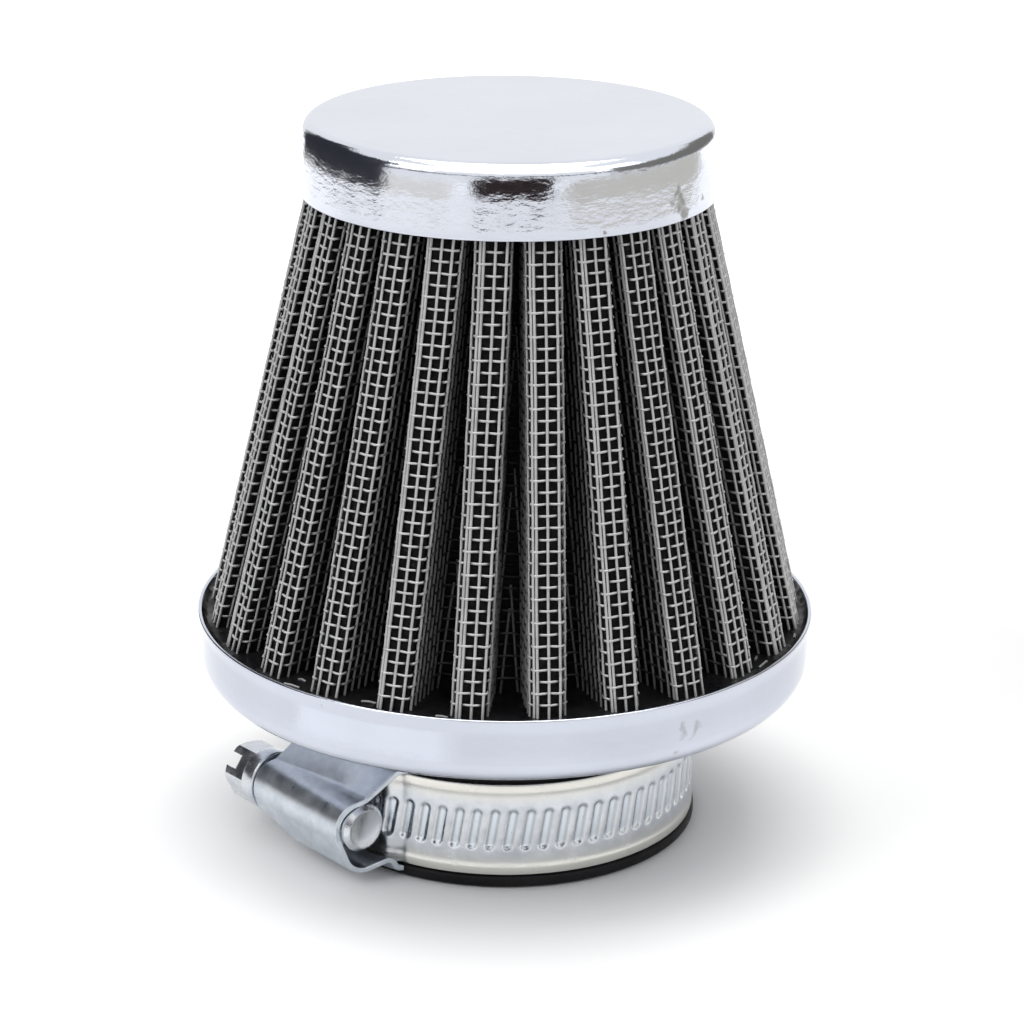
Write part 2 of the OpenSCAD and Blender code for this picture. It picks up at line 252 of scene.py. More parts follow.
def grainOn(tree, scale, detail=3, rough=0.55, stretch=(1, 1, 1), turn=(0, 0, 0)):
    mapping = addNode(tree, "ShaderNodeMapping", Vector=objectPlace(tree),
                      Scale=stretch, Rotation=[math.radians(a) for a in turn])
    grain = addNode(tree, "ShaderNodeTexNoise", Vector=mapping.outputs[0],
                    Scale=scale, Detail=detail, Roughness=rough)
    return grain.outputs["Fac"]


def rangeOf(tree, value, fromLow, fromHigh, toLow, toHigh):
    node = addNode(tree, "ShaderNodeMapRange", Value=value, From_Min=fromLow, From_Max=fromHigh,
                   To_Min=toLow, To_Max=toHigh)
    return node.outputs[0]


def tints(tree, value, *stops):
    ramp = addNode(tree, "ShaderNodeValToRGB", Fac=value)
    marks = ramp.color_ramp.elements
    while len(marks) < len(stops):
        marks.new(0.5)
    for mark, (place, colour) in zip(marks, stops):
        mark.position = place
        mark.color = (*colour, 1)
    return ramp.outputs[0]


def mixTints(tree, factor, colourA, colourB):
    node = addNode(tree, "ShaderNodeMix", {"data_type": "RGBA"})
    for index, value in ((0, factor), (6, colourA), (7, colourB)):
        setInput(tree, node.inputs[index], value)
    return node.outputs[2]


def raiseBy(tree, shader, height, strength, distance):
    bump = addNode(tree, "ShaderNodeBump", Height=height, Strength=strength, Distance=distance)
    if shader.inputs["Normal"].is_linked:
        tree.links.new(shader.inputs["Normal"].links[0].from_socket, bump.inputs["Normal"])
    tree.links.new(bump.outputs[0], shader.inputs["Normal"])


# Finishes

def darkSpotsOn(tree, spots):
    # ragged darker, rougher spots: each spot is (degrees round from the camera's side, radius, height, size)
    coords = objectPlace(tree)
    swirl = addNode(tree, "ShaderNodeTexNoise", Vector=coords, Scale=420, Detail=4)
    drift = vectorSums(tree, "MULTIPLY_ADD", swirl.outputs["Color"], (0.003, 0.003, 0.006),
                       (-0.0015, -0.0015, -0.003))["Vector"]
    moved = vectorSums(tree, "ADD", coords, drift)["Vector"]
    ragged = rangeOf(tree, grainOn(tree, 900, detail=5, rough=0.7), 0.35, 0.65, 0.5, 1.6)
    spotted = 0.0
    for azimuth, radius, height, size in spots:
        turn = math.radians(azimuth)
        spot = Vector((radius * math.sin(turn), -radius * math.cos(turn), height)) * mm
        away = vectorSums(tree, "DISTANCE", moved, spot)["Value"]
        near = rangeOf(tree, away, size * mm, 0.4 * size * mm, 0, 1)
        spotted = sums(tree, "MAXIMUM", spotted, near)
    return sums(tree, "MINIMUM", times(tree, spotted, ragged), 1.0)


brightSheets = {
    "capTones": ((0.66, 0.69, 0.76), (0.71, 0.74, 0.82)),
    # painted shade: the pan is given darker tones than the cap, for the shade it mirrors
    "panShadedTones": ((0.59, 0.62, 0.7), (0.64, 0.67, 0.76)),
    "capSpots": [(50, 26.5, 88.9, 1.1), (51.5, 26.5, 87.4, 1.3), (54, 26.5, 86.3, 1.3),
                  (64, 26.5, 87.4, 0.9), (26, 26.5, 86.1, 0.5)],
    "panSpots": [(-33.5, 40.1, 28.4, 0.35), (33.6, 40.1, 25.6, 0.8), (36, 40.1, 25.0, 0.9),
                  (32, 39.9, 22.6, 0.6), (27, 40.1, 24.1, 0.4)],
    "spotTone": (0.36, 0.36, 0.37, 1),
    "wrinkledTo": 0.0925,  # metres up the cap to which its drawn skirt is wrinkled
    "flatFrom": 0.0945,
}


def brightSheetFinish(name, tones, spotPlaces, spotted, wrinkled):
    dull, bright = tones
    finish, tree, shader = newFinish(name, bright, 1.0, 0.1)
    cloud = grainOn(tree, 60, detail=4)
    spotMask = times(tree, darkSpotsOn(tree, spotPlaces), spotted)
    clean = tints(tree, cloud, (0.3, dull), (0.7, bright))
    colour = mixTints(tree, spotMask, clean, brightSheets["spotTone"])
    rough = sums(tree, "MULTIPLY_ADD", spotMask, 0.3, rangeOf(tree, cloud, 0.3, 0.7, 0.06, 0.13))
    feed(tree, shader, Base_Color=colour, Roughness=rough)
    raiseBy(tree, shader, grainOn(tree, 1700, detail=2), 0.06, 0.0002)
    height = addNode(tree, "ShaderNodeSeparateXYZ", Vector=objectPlace(tree))
    skirt = rangeOf(tree, height.outputs["Z"], brightSheets["flatFrom"], brightSheets["wrinkledTo"], 0.12, 1)
    wrinkles = times(tree, grainOn(tree, 1200, detail=3, stretch=(0.45, 0.45, 1.1)), skirt)
    raiseBy(tree, shader, wrinkles, wrinkled, 0.0003)
    raiseBy(tree, shader, grainOn(tree, 170, detail=2), 0.1, 0.0005)
    return finish


def screenWireFinish():
    # painted light and shade: a wire's colour is light on the crests and darkens by its "shade" down a fold,
    # and by "over" where it dips under another wire into the cloth
    finish, tree, shader = newFinish("screenWire", (0.6, 0.6, 0.61), 0.25, 0.45, Specular_IOR_Level=0.3)
    # painted shade where a wire dips under another wire into the cloth
    dipShade = rangeOf(tree, readValue(tree, "over"), -0.6, 0.1, 0.06, 1)
    dust = rangeOf(tree, grainOn(tree, 700, detail=4), 0.3, 0.7, 0.82, 1.08)
    lit = times(tree, times(tree, readValue(tree, "shade"), dipShade), dust)
    colour = tints(tree, lit, (0, (0.006, 0.006, 0.006)), (1, (0.57, 0.57, 0.575)))
    feed(tree, shader, Base_Color=colour)
    return finish


def filterClothFinish():
    finish, tree, shader = newFinish("filterCloth", (0.009, 0.009, 0.01), 0.0, 0.95, Specular_IOR_Level=0.1)
    thread = grainOn(tree, 1400, detail=4, rough=0.7)
    colour = tints(tree, thread, (0.35, (0.004, 0.004, 0.004)), (0.66, (0.016, 0.016, 0.016)),
                   (0.74, (0.06, 0.06, 0.06)))
    feed(tree, shader, Base_Color=colour)
    raiseBy(tree, shader, thread, 0.6, 0.0003)
    return finish


def pottingFinish():
    finish, tree, shader = newFinish("potting", (0.008, 0.008, 0.009), 0.0, 0.36, Specular_IOR_Level=0.18)
    lumps = grainOn(tree, 260, detail=3)
    colour = tints(tree, lumps, (0.3, (0.004, 0.004, 0.005)), (0.7, (0.014, 0.014, 0.015)))
    feed(tree, shader, Base_Color=colour, Roughness=rangeOf(tree, lumps, 0.3, 0.7, 0.24, 0.42))
    raiseBy(tree, shader, lumps, 0.3, 0.0004)
    return finish


def neckRubberFinish():
    finish, tree, shader = newFinish("neckRubber", (0.012, 0.012, 0.013), 0.0, 0.46, Specular_IOR_Level=0.14)
    mould = grainOn(tree, 900, detail=5)
    bloom = grainOn(tree, 90, detail=3)
    colour = tints(tree, bloom, (0.3, (0.007, 0.007, 0.008)), (0.75, (0.02, 0.02, 0.022)))
    feed(tree, shader, Base_Color=colour, Roughness=rangeOf(tree, bloom, 0.3, 0.7, 0.38, 0.55))
    raiseBy(tree, shader, mould, 0.25, 0.0002)
    return finish


def zincFinish(name, dark, light, roughLow, roughHigh, turn, edges=None):
    finish, tree, shader = newFinish(name, light, 1.0, roughLow)
    mottle = grainOn(tree, 420, detail=5, rough=0.65)
    drawn = grainOn(tree, 500, detail=3, stretch=(1, 0.06, 1), turn=(0, 0, turn))
    colour = tints(tree, mottle, (0.32, dark), (0.66, light))
    if edges:
        # the band's edges are a warmer colour than its middle
        outer = rangeOf(tree, sums(tree, "ABSOLUTE", readValue(tree, "across")), 3.2, 5.2, 0, 1)
        colour = mixTints(tree, outer, colour, (*edges, 1))
        # painted light in a slot: a painted highlight on its left edge, painted shade beside that, a painted
        # blue reflection on its floor and painted shade towards its right edge
        slotPaintedLight = tints(tree, readValue(tree, "slotSide"),
                       (0.1, (0.97, 0.98, 0.99)), (0.24, (0.42, 0.44, 0.46)), (0.42, (0.74, 0.8, 0.87)),
                       (0.62, (0.72, 0.78, 0.84)), (0.8, (0.44, 0.46, 0.49)), (0.93, (0.5, 0.51, 0.52)))
        slotted = rangeOf(tree, readValue(tree, "slotMask"), 0.04, 0.4, 0, 0.9)
        colour = mixTints(tree, slotted, colour, slotPaintedLight)
    feed(tree, shader, Base_Color=colour, Roughness=rangeOf(tree, mottle, 0.3, 0.7, roughLow, roughHigh))
    raiseBy(tree, shader, mottle, 0.12, 0.0002)
    raiseBy(tree, shader, drawn, 0.1, 0.0002)
    return finish


capSheet = brightSheetFinish("capSheet", brightSheets["capTones"], brightSheets["capSpots"], 1.0, 0.14)
panSheet = brightSheetFinish("panSheet", brightSheets["panShadedTones"], brightSheets["panSpots"], 0.55, 0.05)
screenWire = screenWireFinish()
filterCloth = filterClothFinish()
potting = pottingFinish()
neckRubber = neckRubberFinish()
clampTurn = 221  # degrees round the neck to the clamp's housing
zincBand = zincFinish("zincBand", (0.58, 0.61, 0.65), (0.76, 0.79, 0.83), 0.17, 0.3, 0,
                      edges=(0.77, 0.76, 0.71))
zincHousing = zincFinish("zincHousing", (0.52, 0.57, 0.63), (0.7, 0.74, 0.79), 0.26, 0.38, -clampTurn)
zincScrew = zincFinish("zincScrew", (0.56, 0.59, 0.63), (0.73, 0.76, 0.8), 0.18, 0.32, -clampTurn)
print("finishes made")


# Cap, pan and neck

endCap = {
    "sheet": 0.65,
    "turnIn": 90.0,  # height from which the skirt bows in
    "bow": 0.025,  # how fast it does
    "shoulder": 1.8,
    "shoulderR": 24.46,
    "topRings": (12, 19),  # radii of extra rings across the flat top
    "bowEnd": 9.3,  # degrees that the skirt leans where the shoulder starts
    "edgeRound": 0.25,
    "steps": 256,
    "wave": 0.04,  # how far the pressed skirt is out of round
    "seed": 3.1,
}
basePan = {
    "sheet": 0.65,
    "corner": 3.0,
    "wall": 40.1,
    "rimRound": 0.2,
    "rimInner": 39.95,
    "flare": 2.2,  # height below the rim from which the wall flares
    "hole": 24.0,
    "edgeRound": 0.2,
    "steps": 320,
    "wave": 0.05,
    "seed": 8.4,
}
rubberNeck = {
    "bore": 21.0,
    "groove": 24.8,
    "lip": 25.7,
    "lipHeight": 1.5,
    "lipRound": 0.5,
    "waist": 23.95,
    "panGap": 0.05,
    "flangeRound": 0.5,
    "steps": 160,
}


def outOfRound(amount, seed):
    def shape(radius, height, turn):
        spot = Vector((1.7 * math.cos(turn), 1.7 * math.sin(turn), 0.12 * height + seed))
        return radius + amount * noise.noise(spot)
    return shape


def capMesh():
    p = endCap
    top, low, out = capHigh.z, capLow.z, capHigh.x
    r, t, e, centre = p["shoulder"], p["sheet"], p["edgeRound"], p["shoulderR"]
    outside = [(0, top)] + [(radius, top) for radius in p["topRings"]] + [(centre - 0.6, top)]
    outside += arcPoints(centre, top - r, r, 90, p["bowEnd"], 14)
    bowTop = top - r - 0.15
    bowed = [bowTop - (bowTop - p["turnIn"]) * f for f in (0, 0.3, 0.6, 0.85)]
    outside += [(out - p["bow"] * (z - p["turnIn"]) ** 2, z) for z in bowed]
    outside += [(out, low + (p["turnIn"] - low) * f) for f in (1, 0.6, 0.3)]
    edge = arcPoints(out - e, low + e, e, 0, -90, 4) + arcPoints(out - t + e, low + e, e, -90, -180, 4)
    inside = [(out - t, p["turnIn"])] + arcPoints(centre, top - r, r - t, p["bowEnd"], 90, 8)
    inside += [(p["topRings"][0], top - t), (0, top - t)]
    shape = outOfRound(p["wave"], p["seed"])
    return meshFrom("capShell", *turned(outside + edge + inside, p["steps"], closed=False, shape=shape))


def panMesh():
    p = basePan
    low, rim, out, wall = panLow.z, panHigh.z, panHigh.x, p["wall"]
    r, t, b, e = p["corner"], p["sheet"], p["rimRound"], p["edgeRound"]
    outside = arcPoints(wall - r, low + r, r, -90, 0, 12)
    outside += [(wall, low + r + (rim - p["flare"] - low - r) * f) for f in (0.5, 1)]
    outside += [(wall + 0.05, rim - 1.4), (wall + 0.25, rim - 0.7)]
    lip = arcPoints(out - b, rim - b, b, 0, 90, 4) + arcPoints(p["rimInner"] + b, rim - b, b, 90, 180, 4)
    inside = [(wall - t + 0.02, rim - 0.95)] + arcPoints(wall - r, low + r, r - t, 0, -90, 8)
    hole = arcPoints(p["hole"] + e, low + t - e, e, 90, 180, 3)
    hole += arcPoints(p["hole"] + e, low + e, e, 180, 270, 3)
    shape = outOfRound(p["wave"], p["seed"])
    return meshFrom("panShell", *turned(outside + lip + inside + hole, p["steps"], shape=shape))


def neckMesh():
    p = rubberNeck
    lipR, flangeR = p["lip"], neckHigh.x
    panUnder, panOver, top = panLow.z, panLow.z + basePan["sheet"], neckHigh.z
    bore, groove, waist, g = p["bore"], p["groove"], p["waist"], p["panGap"]
    lip = arcPoints(lipR - p["lipRound"], p["lipRound"], p["lipRound"], -90, 0, 5)
    lip += arcPoints(lipR - 0.3, p["lipHeight"] - 0.3, 0.3, 0, 90, 4)
    wall = arcPoints(groove + 0.3, p["lipHeight"] + 0.3, 0.3, 270, 180, 3)
    wall += [(groove, (p["lipHeight"] + panUnder) / 2)]
    wall += arcPoints(groove - 0.3, panUnder - g - 0.3, 0.3, 0, 90, 3)
    seat = [(waist, panUnder - g), (waist, panOver + g)]
    f = p["flangeRound"]
    flange = [(flangeR, panOver + g)] + arcPoints(flangeR - f, top - f, f, 0, 90, 5)
    mouth = arcPoints(bore + 0.4, top - 0.4, 0.4, 90, 180, 4)
    foot = arcPoints(bore + 0.5, 0.5, 0.5, 180, 270, 5)
    return meshFrom("neckMoulding", *turned(lip + wall + seat + flange + mouth + foot, p["steps"]))


addPiece("capShell", capMesh(), capSheet, "filter", "bright_sheet", "end_cap")
addPiece("panShell", panMesh(), panSheet, "filter", "bright_sheet", "base_pan")
addPiece("neckMoulding", neckMesh(), neckRubber, "filter", "neck_rubber", "rubber_neck")
print("cap, pan and neck made")


# The pleats' shape, the same rule as the solids have

pleats = {
    "count": 25,
    "phase": -82,
    "lean": 2.4,
    "crowd": 3,
    "width": 4.8,
    "deepFoot": 9,
    "deepTop": 4.9,
    "rootGap": 0.6,
    "crestRound": 1,
    "crestFoot": 39.25,
    "crestEdge": 25.65,  # crest radius at the cap's lower edge
    "screen": 0.5,
    "cloth": 1.0,
    "innerScreen": 0.4,
    "gap": 0.05,
}


def foldTurn(k, s):
    a = 360 * k / pleats["count"] + pleats["phase"]
    return math.radians(a + s * (pleats["lean"] - pleats["crowd"] * math.cos(math.radians(a))))


def crestAt(s):
    drop = (pleats["crestEdge"] - pleats["crestFoot"]) * packHeight / (capLow.z - packLow.z)
    return pleats["crestFoot"] + drop * s


def valleyAt(s):
    return crestAt(s) - pleats["deepFoot"] + (pleats["deepFoot"] - pleats["deepTop"]) * s


def rootAt(s):
    share = 2 * math.pi * valleyAt(s) / pleats["count"]
    return min(pleats["width"] / 2, (share - pleats["rootGap"]) / 2)


def foldSide(s, inset):
    # the places where a fold's half outline turns: crest flat, corner, root
    r = max(pleats["crestRound"] - inset, 0.1)
    flat = pleats["width"] / 2 - inset - r
    v, h = valleyAt(s) - inset, rootAt(s) - inset
    corner = Vector((crestAt(s) - inset - r, pleats["width"] / 2 - inset))
    root = Vector((math.sqrt(v * v - h * h), h))
    return r, flat, corner, root, v


def foldAxes(turn):
    return Vector((math.cos(turn), math.sin(turn))), Vector((-math.sin(turn), math.cos(turn)))


def valleyEnds(k, s, side, root, v):
    # where the side of fold k meets the valley's floor, and the middle of that floor
    turn = foldTurn(k, s)
    along, across = foldAxes(turn)
    middle = (turn + foldTurn(k + side, s)) / 2
    return along * root.x + across * side * root.y, foldAxes(middle)[0] * v


def netPoint(k, s, inset, d):
    # where a wire at distance d from fold k's crest line passes: place, outward direction
    side = 1 if d >= 0 else -1
    far = abs(d)
    r, flat, corner, root, v = foldSide(s, inset)
    along, across = foldAxes(foldTurn(k, s))
    if far <= flat:
        rho, tau, nx, ny = corner.x + r, far, 1, 0
    elif far <= flat + r * math.pi / 2:
        a = (far - flat) / r
        rho, tau, nx, ny = corner.x + r * math.cos(a), flat + r * math.sin(a), math.cos(a), math.sin(a)
    else:
        down = root - corner
        rest = far - flat - r * math.pi / 2
        if rest <= down.length:
            spot = corner + down * (rest / down.length)
            rho, tau, nx, ny = spot.x, spot.y, -down.y / down.length, -down.x / down.length
        else:
            rootPlace, valley = valleyEnds(k, s, side, root, v)
            share = min(1, (rest - down.length) / max((valley - rootPlace).length, 0.01))
            return rootPlace.lerp(valley, share), valley.normalized()
    return along * rho + across * side * tau, along * nx + across * side * ny


def halfLength(k, s, inset, side):
    r, flat, corner, root, v = foldSide(s, inset)
    rootPlace, valley = valleyEnds(k, s, side, root, v)
    return flat + r * math.pi / 2 + (root - corner).length + (valley - rootPlace).length


# Woven wire, a net of centre lines that a node tree swells into wires

weave = {
    "pitch": 1.4,
    "rows": 45,
    "firstRow": 2,  # the rows below it are in the potting
    "warp": 0.19,  # radius of the upright wires
    "weft": 0.16,
    "sides": 5,
    "innerSides": 3,
    "warpStops": 22,
    "weftSwing": 0.12,  # how far a cross wire goes over and under
    "crestLit": 0.6,  # how much less painted shade a cross wire gets in the middle of a crest
    "warpSwing": 0.03,
    "skew": 0.07,  # how unevenly the wires lie
    "fade": [(0, 1), (0.5, 0.95), (1.3, 0.55), (2.6, 0.23), (5, 0.1)],  # light at a depth below the crest
    "weftFade": 2.3,  # how much faster the cross wires fade, as a power
    "footLight": 0.34,  # more light in the wide feet of the valleys
    "crowdAt": 1.75,  # distance from a crest's middle to the corner where wires crowd
    "crowd": 0.42,
    "woven": 15,  # half the length of screen that one fold may take
}
looseWires = {
    "count": 20,
    "between": (0.34, 0.66),  # place between two folds
    "radius": (36.2, 39.0),
    "length": (1.0, 2.8),
    "askew": 0.3,
    "tilt": 0.12,
    "kink": 0.15,
    "above": 0.1,
    "shade": 0.55,
}
dice = random.Random(31)
phases = [dice.uniform(-0.5, 0.5) for k in range(pleats["count"])]


def wobble(k, d, height, seed):
    return weave["skew"] * noise.noise(Vector((k * 3.1 + d * 0.11 + seed, height * 0.1, d * 0.05)))


# painted shade: a wire's colour darkens with its depth below the crest, less so low down in the wide feet of
# the valleys
def lightAt(s, depth):
    stops = weave["fade"]
    for (deepA, lightA), (deepB, lightB) in zip(stops, stops[1:]):
        if depth < deepB:
            share = max(0, depth - deepA) / (deepB - deepA)
            break
    else:
        share = 1
    return lightA + (lightB - lightA) * share + weave["footLight"] * (1 - s) ** 2 * min(1, depth / 5)


def wirePoint(k, s, inset, d, over, swing):
    spot, out = netPoint(k, s, inset, d)
    depth = max(0, crestAt(s) - inset - spot.length)
    place = (spot.x, spot.y, packLow.z + s * packHeight)
    return place, out * over * swing, lightAt(s, depth), over


# painted shade: cross wires darken faster down a fold, and less in the middle of a crest
def crossPoint(k, s, inset, d, over):
    place, swing, light, over = wirePoint(k, s, inset, d, over, weave["weftSwing"])
    return place, swing, light ** weave["weftFade"], over + weave["crestLit"] * max(0, 1 - abs(d))


def wireNet(inset, shift):
    up, around = [], []
    pitch = weave["pitch"]
    wires = int(weave["woven"] / pitch)
    for k in range(pleats["count"]):
        places = [(i + 0.5 + phases[k] * shift) * pitch for i in range(-wires, wires)]
        if shift:
            # an extra wire where the screen is folded first, at the left corner of a pleat
            places.append(min(places, key=lambda d: abs(d + weave["crowdAt"])) - weave["crowd"])
        for d in places:
            line = []
            for j in range(weave["warpStops"] + 1):
                s = j / weave["warpStops"]
                place = d + wobble(k, d, s * packHeight, 5.5)
                if abs(place) > halfLength(k, s, inset, 1 if d > 0 else -1):
                    break
                line.append(wirePoint(k, s, inset, place, 1, weave["warpSwing"] * (-1) ** j))
            if len(line) > 2:
                up.append(line)
    for j in range(weave["firstRow"], weave["rows"] + 1):
        loop = []
        s = j / weave["rows"]
        radius, flat = foldSide(s, inset)[:2]
        bends = [flat, flat + radius * math.pi / 4, flat + radius * math.pi / 2]
        for k in range(pleats["count"]):
            low, high = -halfLength(k, s, inset, -1), halfLength(k, s, inset, 1)
            start = phases[k] * shift + 0.5
            stops = [(i + start) * pitch for i in range(-wires, wires)] + bends + [-d for d in bends]
            for d in sorted(stops):
                if low < d < high:
                    over = math.cos(math.pi * (d / pitch - start + j))
                    share = min(max(s + wobble(k, d, j, 9.2) / packHeight, 0), 1)
                    loop.append(crossPoint(k, share, inset, d, over))
        around.append(loop)
    return up, around


def looseEnds():
    # cut ends of wire that lie in the potting, in the mouths of the valleys
    p = looseWires
    ends = []
    step = 2 * math.pi / pleats["count"]
    for i in range(p["count"]):
        turn = foldTurn(dice.randrange(pleats["count"]), 0) + step * dice.uniform(*p["between"])
        radius, length = dice.uniform(*p["radius"]), dice.uniform(*p["length"])
        height = packLow.z + pottingPool["level"] + p["above"]
        middle = Vector((radius * math.cos(turn), radius * math.sin(turn), height))
        lie = turn + math.pi / 2 + dice.uniform(-p["askew"], p["askew"])
        half = Vector((math.cos(lie), math.sin(lie), dice.uniform(-p["tilt"], p["tilt"]))) * length / 2
        kink = Vector((0, 0, dice.uniform(0, p["kink"])))
        ends.append([(middle + half * f + kink * (1 - f * f), Vector((0, 0)), p["shade"], 1)
                     for f in (-1, 0, 1)])
    return ends


def netMesh(name, lines, closed):
    points, edges, swings, shades, overs = [], [], [], [], []
    for line in lines:
        start = len(points)
        points += [Vector(place) * mm for place, swing, shade, over in line]
        swings += [value for place, swing, shade, over in line for value in (swing.x, swing.y, 0)]
        shades += [shade for place, swing, shade, over in line]
        overs += [over for place, swing, shade, over in line]
        edges += [(start + i, start + i + 1) for i in range(len(line) - 1)]
        if closed:
            edges.append((start + len(line) - 1, start))
    mesh = bpy.data.meshes.new(name)
    mesh.from_pydata(points, edges, [])
    keepValues(mesh, "swing", swings, "FLOAT_VECTOR")
    keepValues(mesh, "shade", shades)
    keepValues(mesh, "over", overs)
    return mesh


def wireTree():
    tree, given, result = newTree("wovenWire", Wire_radius="Float", Wire_sides="Int", Wire_finish="Material")
    swing = addNode(tree, "GeometryNodeInputNamedAttribute", {"data_type": "FLOAT_VECTOR"}, Name="swing")
    lift = addNode(tree, "ShaderNodeVectorMath", {"operation": "SCALE"},
                   Vector=swing.outputs["Attribute"], Scale=mm)
    woven = addNode(tree, "GeometryNodeSetPosition", Geometry=given["Geometry"],
                    Offset=lift.outputs["Vector"])
    lines = addNode(tree, "GeometryNodeMeshToCurve", Mesh=woven.outputs[0])
    section = addNode(tree, "GeometryNodeCurvePrimitiveCircle", {"mode": "RADIUS"},
                      Resolution=given["Wire sides"], Radius=given["Wire radius"])
    wires = addNode(tree, "GeometryNodeCurveToMesh", Curve=lines.outputs[0],
                    Profile_Curve=section.outputs["Curve"], Fill_Caps=True)
    smooth = addNode(tree, "GeometryNodeSetShadeSmooth", Geometry=wires.outputs[0])
    endTree(tree, result, smooth.outputs[0], given["Wire finish"])
    return tree


wovenWire = wireTree()


def addWires(name, lines, closed, sides, thickness, *nodes):
    mesh = runTree(name, netMesh(name + "Net", lines, closed), wovenWire,
                   Wire_radius=thickness * mm, Wire_sides=sides, Wire_finish=screenWire)
    addPiece(name, mesh, None, "filter", "screen_wire", *nodes)
    print(name, sum(len(face.vertices) - 2 for face in mesh.polygons), "triangles")


def weaveScreens():
    outerInset = pleats["screen"] / 2
    innerInset = pleats["screen"] + pleats["cloth"] + 2 * pleats["gap"] + pleats["innerScreen"] / 2
    up, around = wireNet(outerInset, 1)
    addWires("outerWarp", up + looseEnds(), False, weave["sides"], weave["warp"], "outer_screen")
    addWires("outerWeftEven", around[::2], True, weave["sides"], weave["weft"])
    addWires("outerWeftOdd", around[1::2], True, weave["sides"], weave["weft"])
    up, around = wireNet(innerInset, 0)
    addWires("innerWarp", up, False, weave["innerSides"], weave["warp"], "inner_screen")
    addWires("innerWeft", around, True, weave["innerSides"], weave["weft"])
    print("screens woven")


# Potting that was poured round the feet of the pleats

pottingPool = {
    "inside": 27.05,
    "outside": 39.4,
    "edgeOut": 0.45,  # the pool's edge climbs the flared rim
    "edgeUp": 0.5,
    "level": 0.9,  # height of the pool above the pleats' feet
    "lumps": 0.1,
    "creep": 0.4,  # how far it creeps up a pleat
    "reach": 0.35,  # how fast the creep dies away from a pleat
    "outlineAt": 1.5,  # height at which the pleats' outline is read
    "turns": 600,
    "rings": 26,
}


def poolHeight(x, y):
    radius, turn = math.hypot(x, y), math.atan2(y, x)
    s = pottingPool["outlineAt"] / packHeight
    apart = [(turn - foldTurn(k, s) + math.pi) % (2 * math.pi) - math.pi for k in range(pleats["count"])]
    near = min(apart, key=abs)
    rho, tau = radius * math.cos(near), abs(radius * math.sin(near))
    away = max(tau - pleats["width"] / 2, rho - crestAt(s), 0)
    lumps = noise.noise(Vector((x, y, 4.2)) * 0.35) + 0.5 * noise.noise(Vector((x, y, 9.9)) * 0.9)
    creep = pottingPool["creep"] * (0.75 + 0.5 * lumps)
    level = packLow.z + pottingPool["level"] + pottingPool["lumps"] * lumps
    return level + creep * math.exp(-away / pottingPool["reach"])


def pottingMesh():
    p = pottingPool
    inside, outside = p["inside"], p["outside"]
    shares = [(i / p["rings"]) ** 0.8 for i in range(p["rings"] + 1)]
    surface = [(inside + (outside - inside) * share, None) for share in shares]
    floor = panLow.z + basePan["sheet"] + 0.05
    under = [(outside + p["edgeOut"], packLow.z + p["level"] + p["edgeUp"]), (outside, packLow.z + 0.6),
             (outside - 0.5, floor + 2), (outside - 3, floor), (inside, floor)]
    pool = turned(surface + under, p["turns"],
                  place=lambda x, y, z: (x, y, poolHeight(x, y) if z is None else z))
    return meshFrom("pottingPool", *pool, sharp=60)


weaveScreens()
addPiece("pottingPool", pottingMesh(), potting, "filter", "potting", "base_potting")
for node, finish in (("cap_potting", potting), ("filter_media", filterCloth)):
    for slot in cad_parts[node].material_slots:
        slot.material = finish
print("potting poured")


# Clamp band: one strip that runs once round and over its own end

clampBand = {
    "radius": 24.85,
    "thick": 0.65,
    "edge": 1.5,  # width of the raised edges
    "edgeOut": 0.1,
    "start": 13,  # degrees from the housing to the strip's fixed end
    "tail": 50,
    "climb": 6,
    "overRadius": 25.55,
    "slotPitch": 2.25,
    "slotWide": 1.6,
    "slotLong": 5.7,
    "slotDeep": 0.3,
    "slotWall": 0.42,  # width of a slot's sloping wall
    "slotLean": -9,
    "slotted": 223,  # degrees of the strip, from its tail, that have slots
    "column": 0.19,  # width of the strip's faces, fine enough for the slots
    "unslotted": -99,  # a place along the strip that no slot has
}


def clampPlace(x, y, z):
    # from the clamp's own frame, +X to the screw and +Y to its tip
    a = math.radians(clampTurn)
    return (x * math.cos(a) - y * math.sin(a), x * math.sin(a) + y * math.cos(a), z)


def stripRadius(u):
    p = clampBand
    climb = min(max((u - 360 + p["climb"]) / p["climb"], 0), 1)
    return p["radius"] + (p["overRadius"] - p["radius"]) * climb * climb * (3 - 2 * climb)


def stripSection():
    # (distance out of the strip's inner face, height above its lower edge, 1 on the outer face)
    p = clampBand
    wide = bandHigh.z - bandLow.z
    proud, flat, edge = p["thick"], p["thick"] - p["edgeOut"], p["edge"]
    lower = [(0.18, 0.0), (0.45, 0.0), (proud - 0.05, 0.06), (proud, 0.2), (proud, edge - 0.45),
             (proud - 0.03, edge - 0.2), (flat, edge), (flat, edge + 0.5)]
    slots = [(flat, z) for z in [wide / 2 + (p["slotLong"] / 2 + 0.35) * (i / 13 - 1) for i in range(27)]]
    upper = [(x, wide - z) for x, z in reversed(lower)]
    outside = lower + slots + upper
    inside = [(0.0, wide - 0.15), (0.0, wide / 2), (0.0, 0.15)]
    return [(x, z, 1) for x, z in outside] + [(x, z, 0) for x, z in inside]


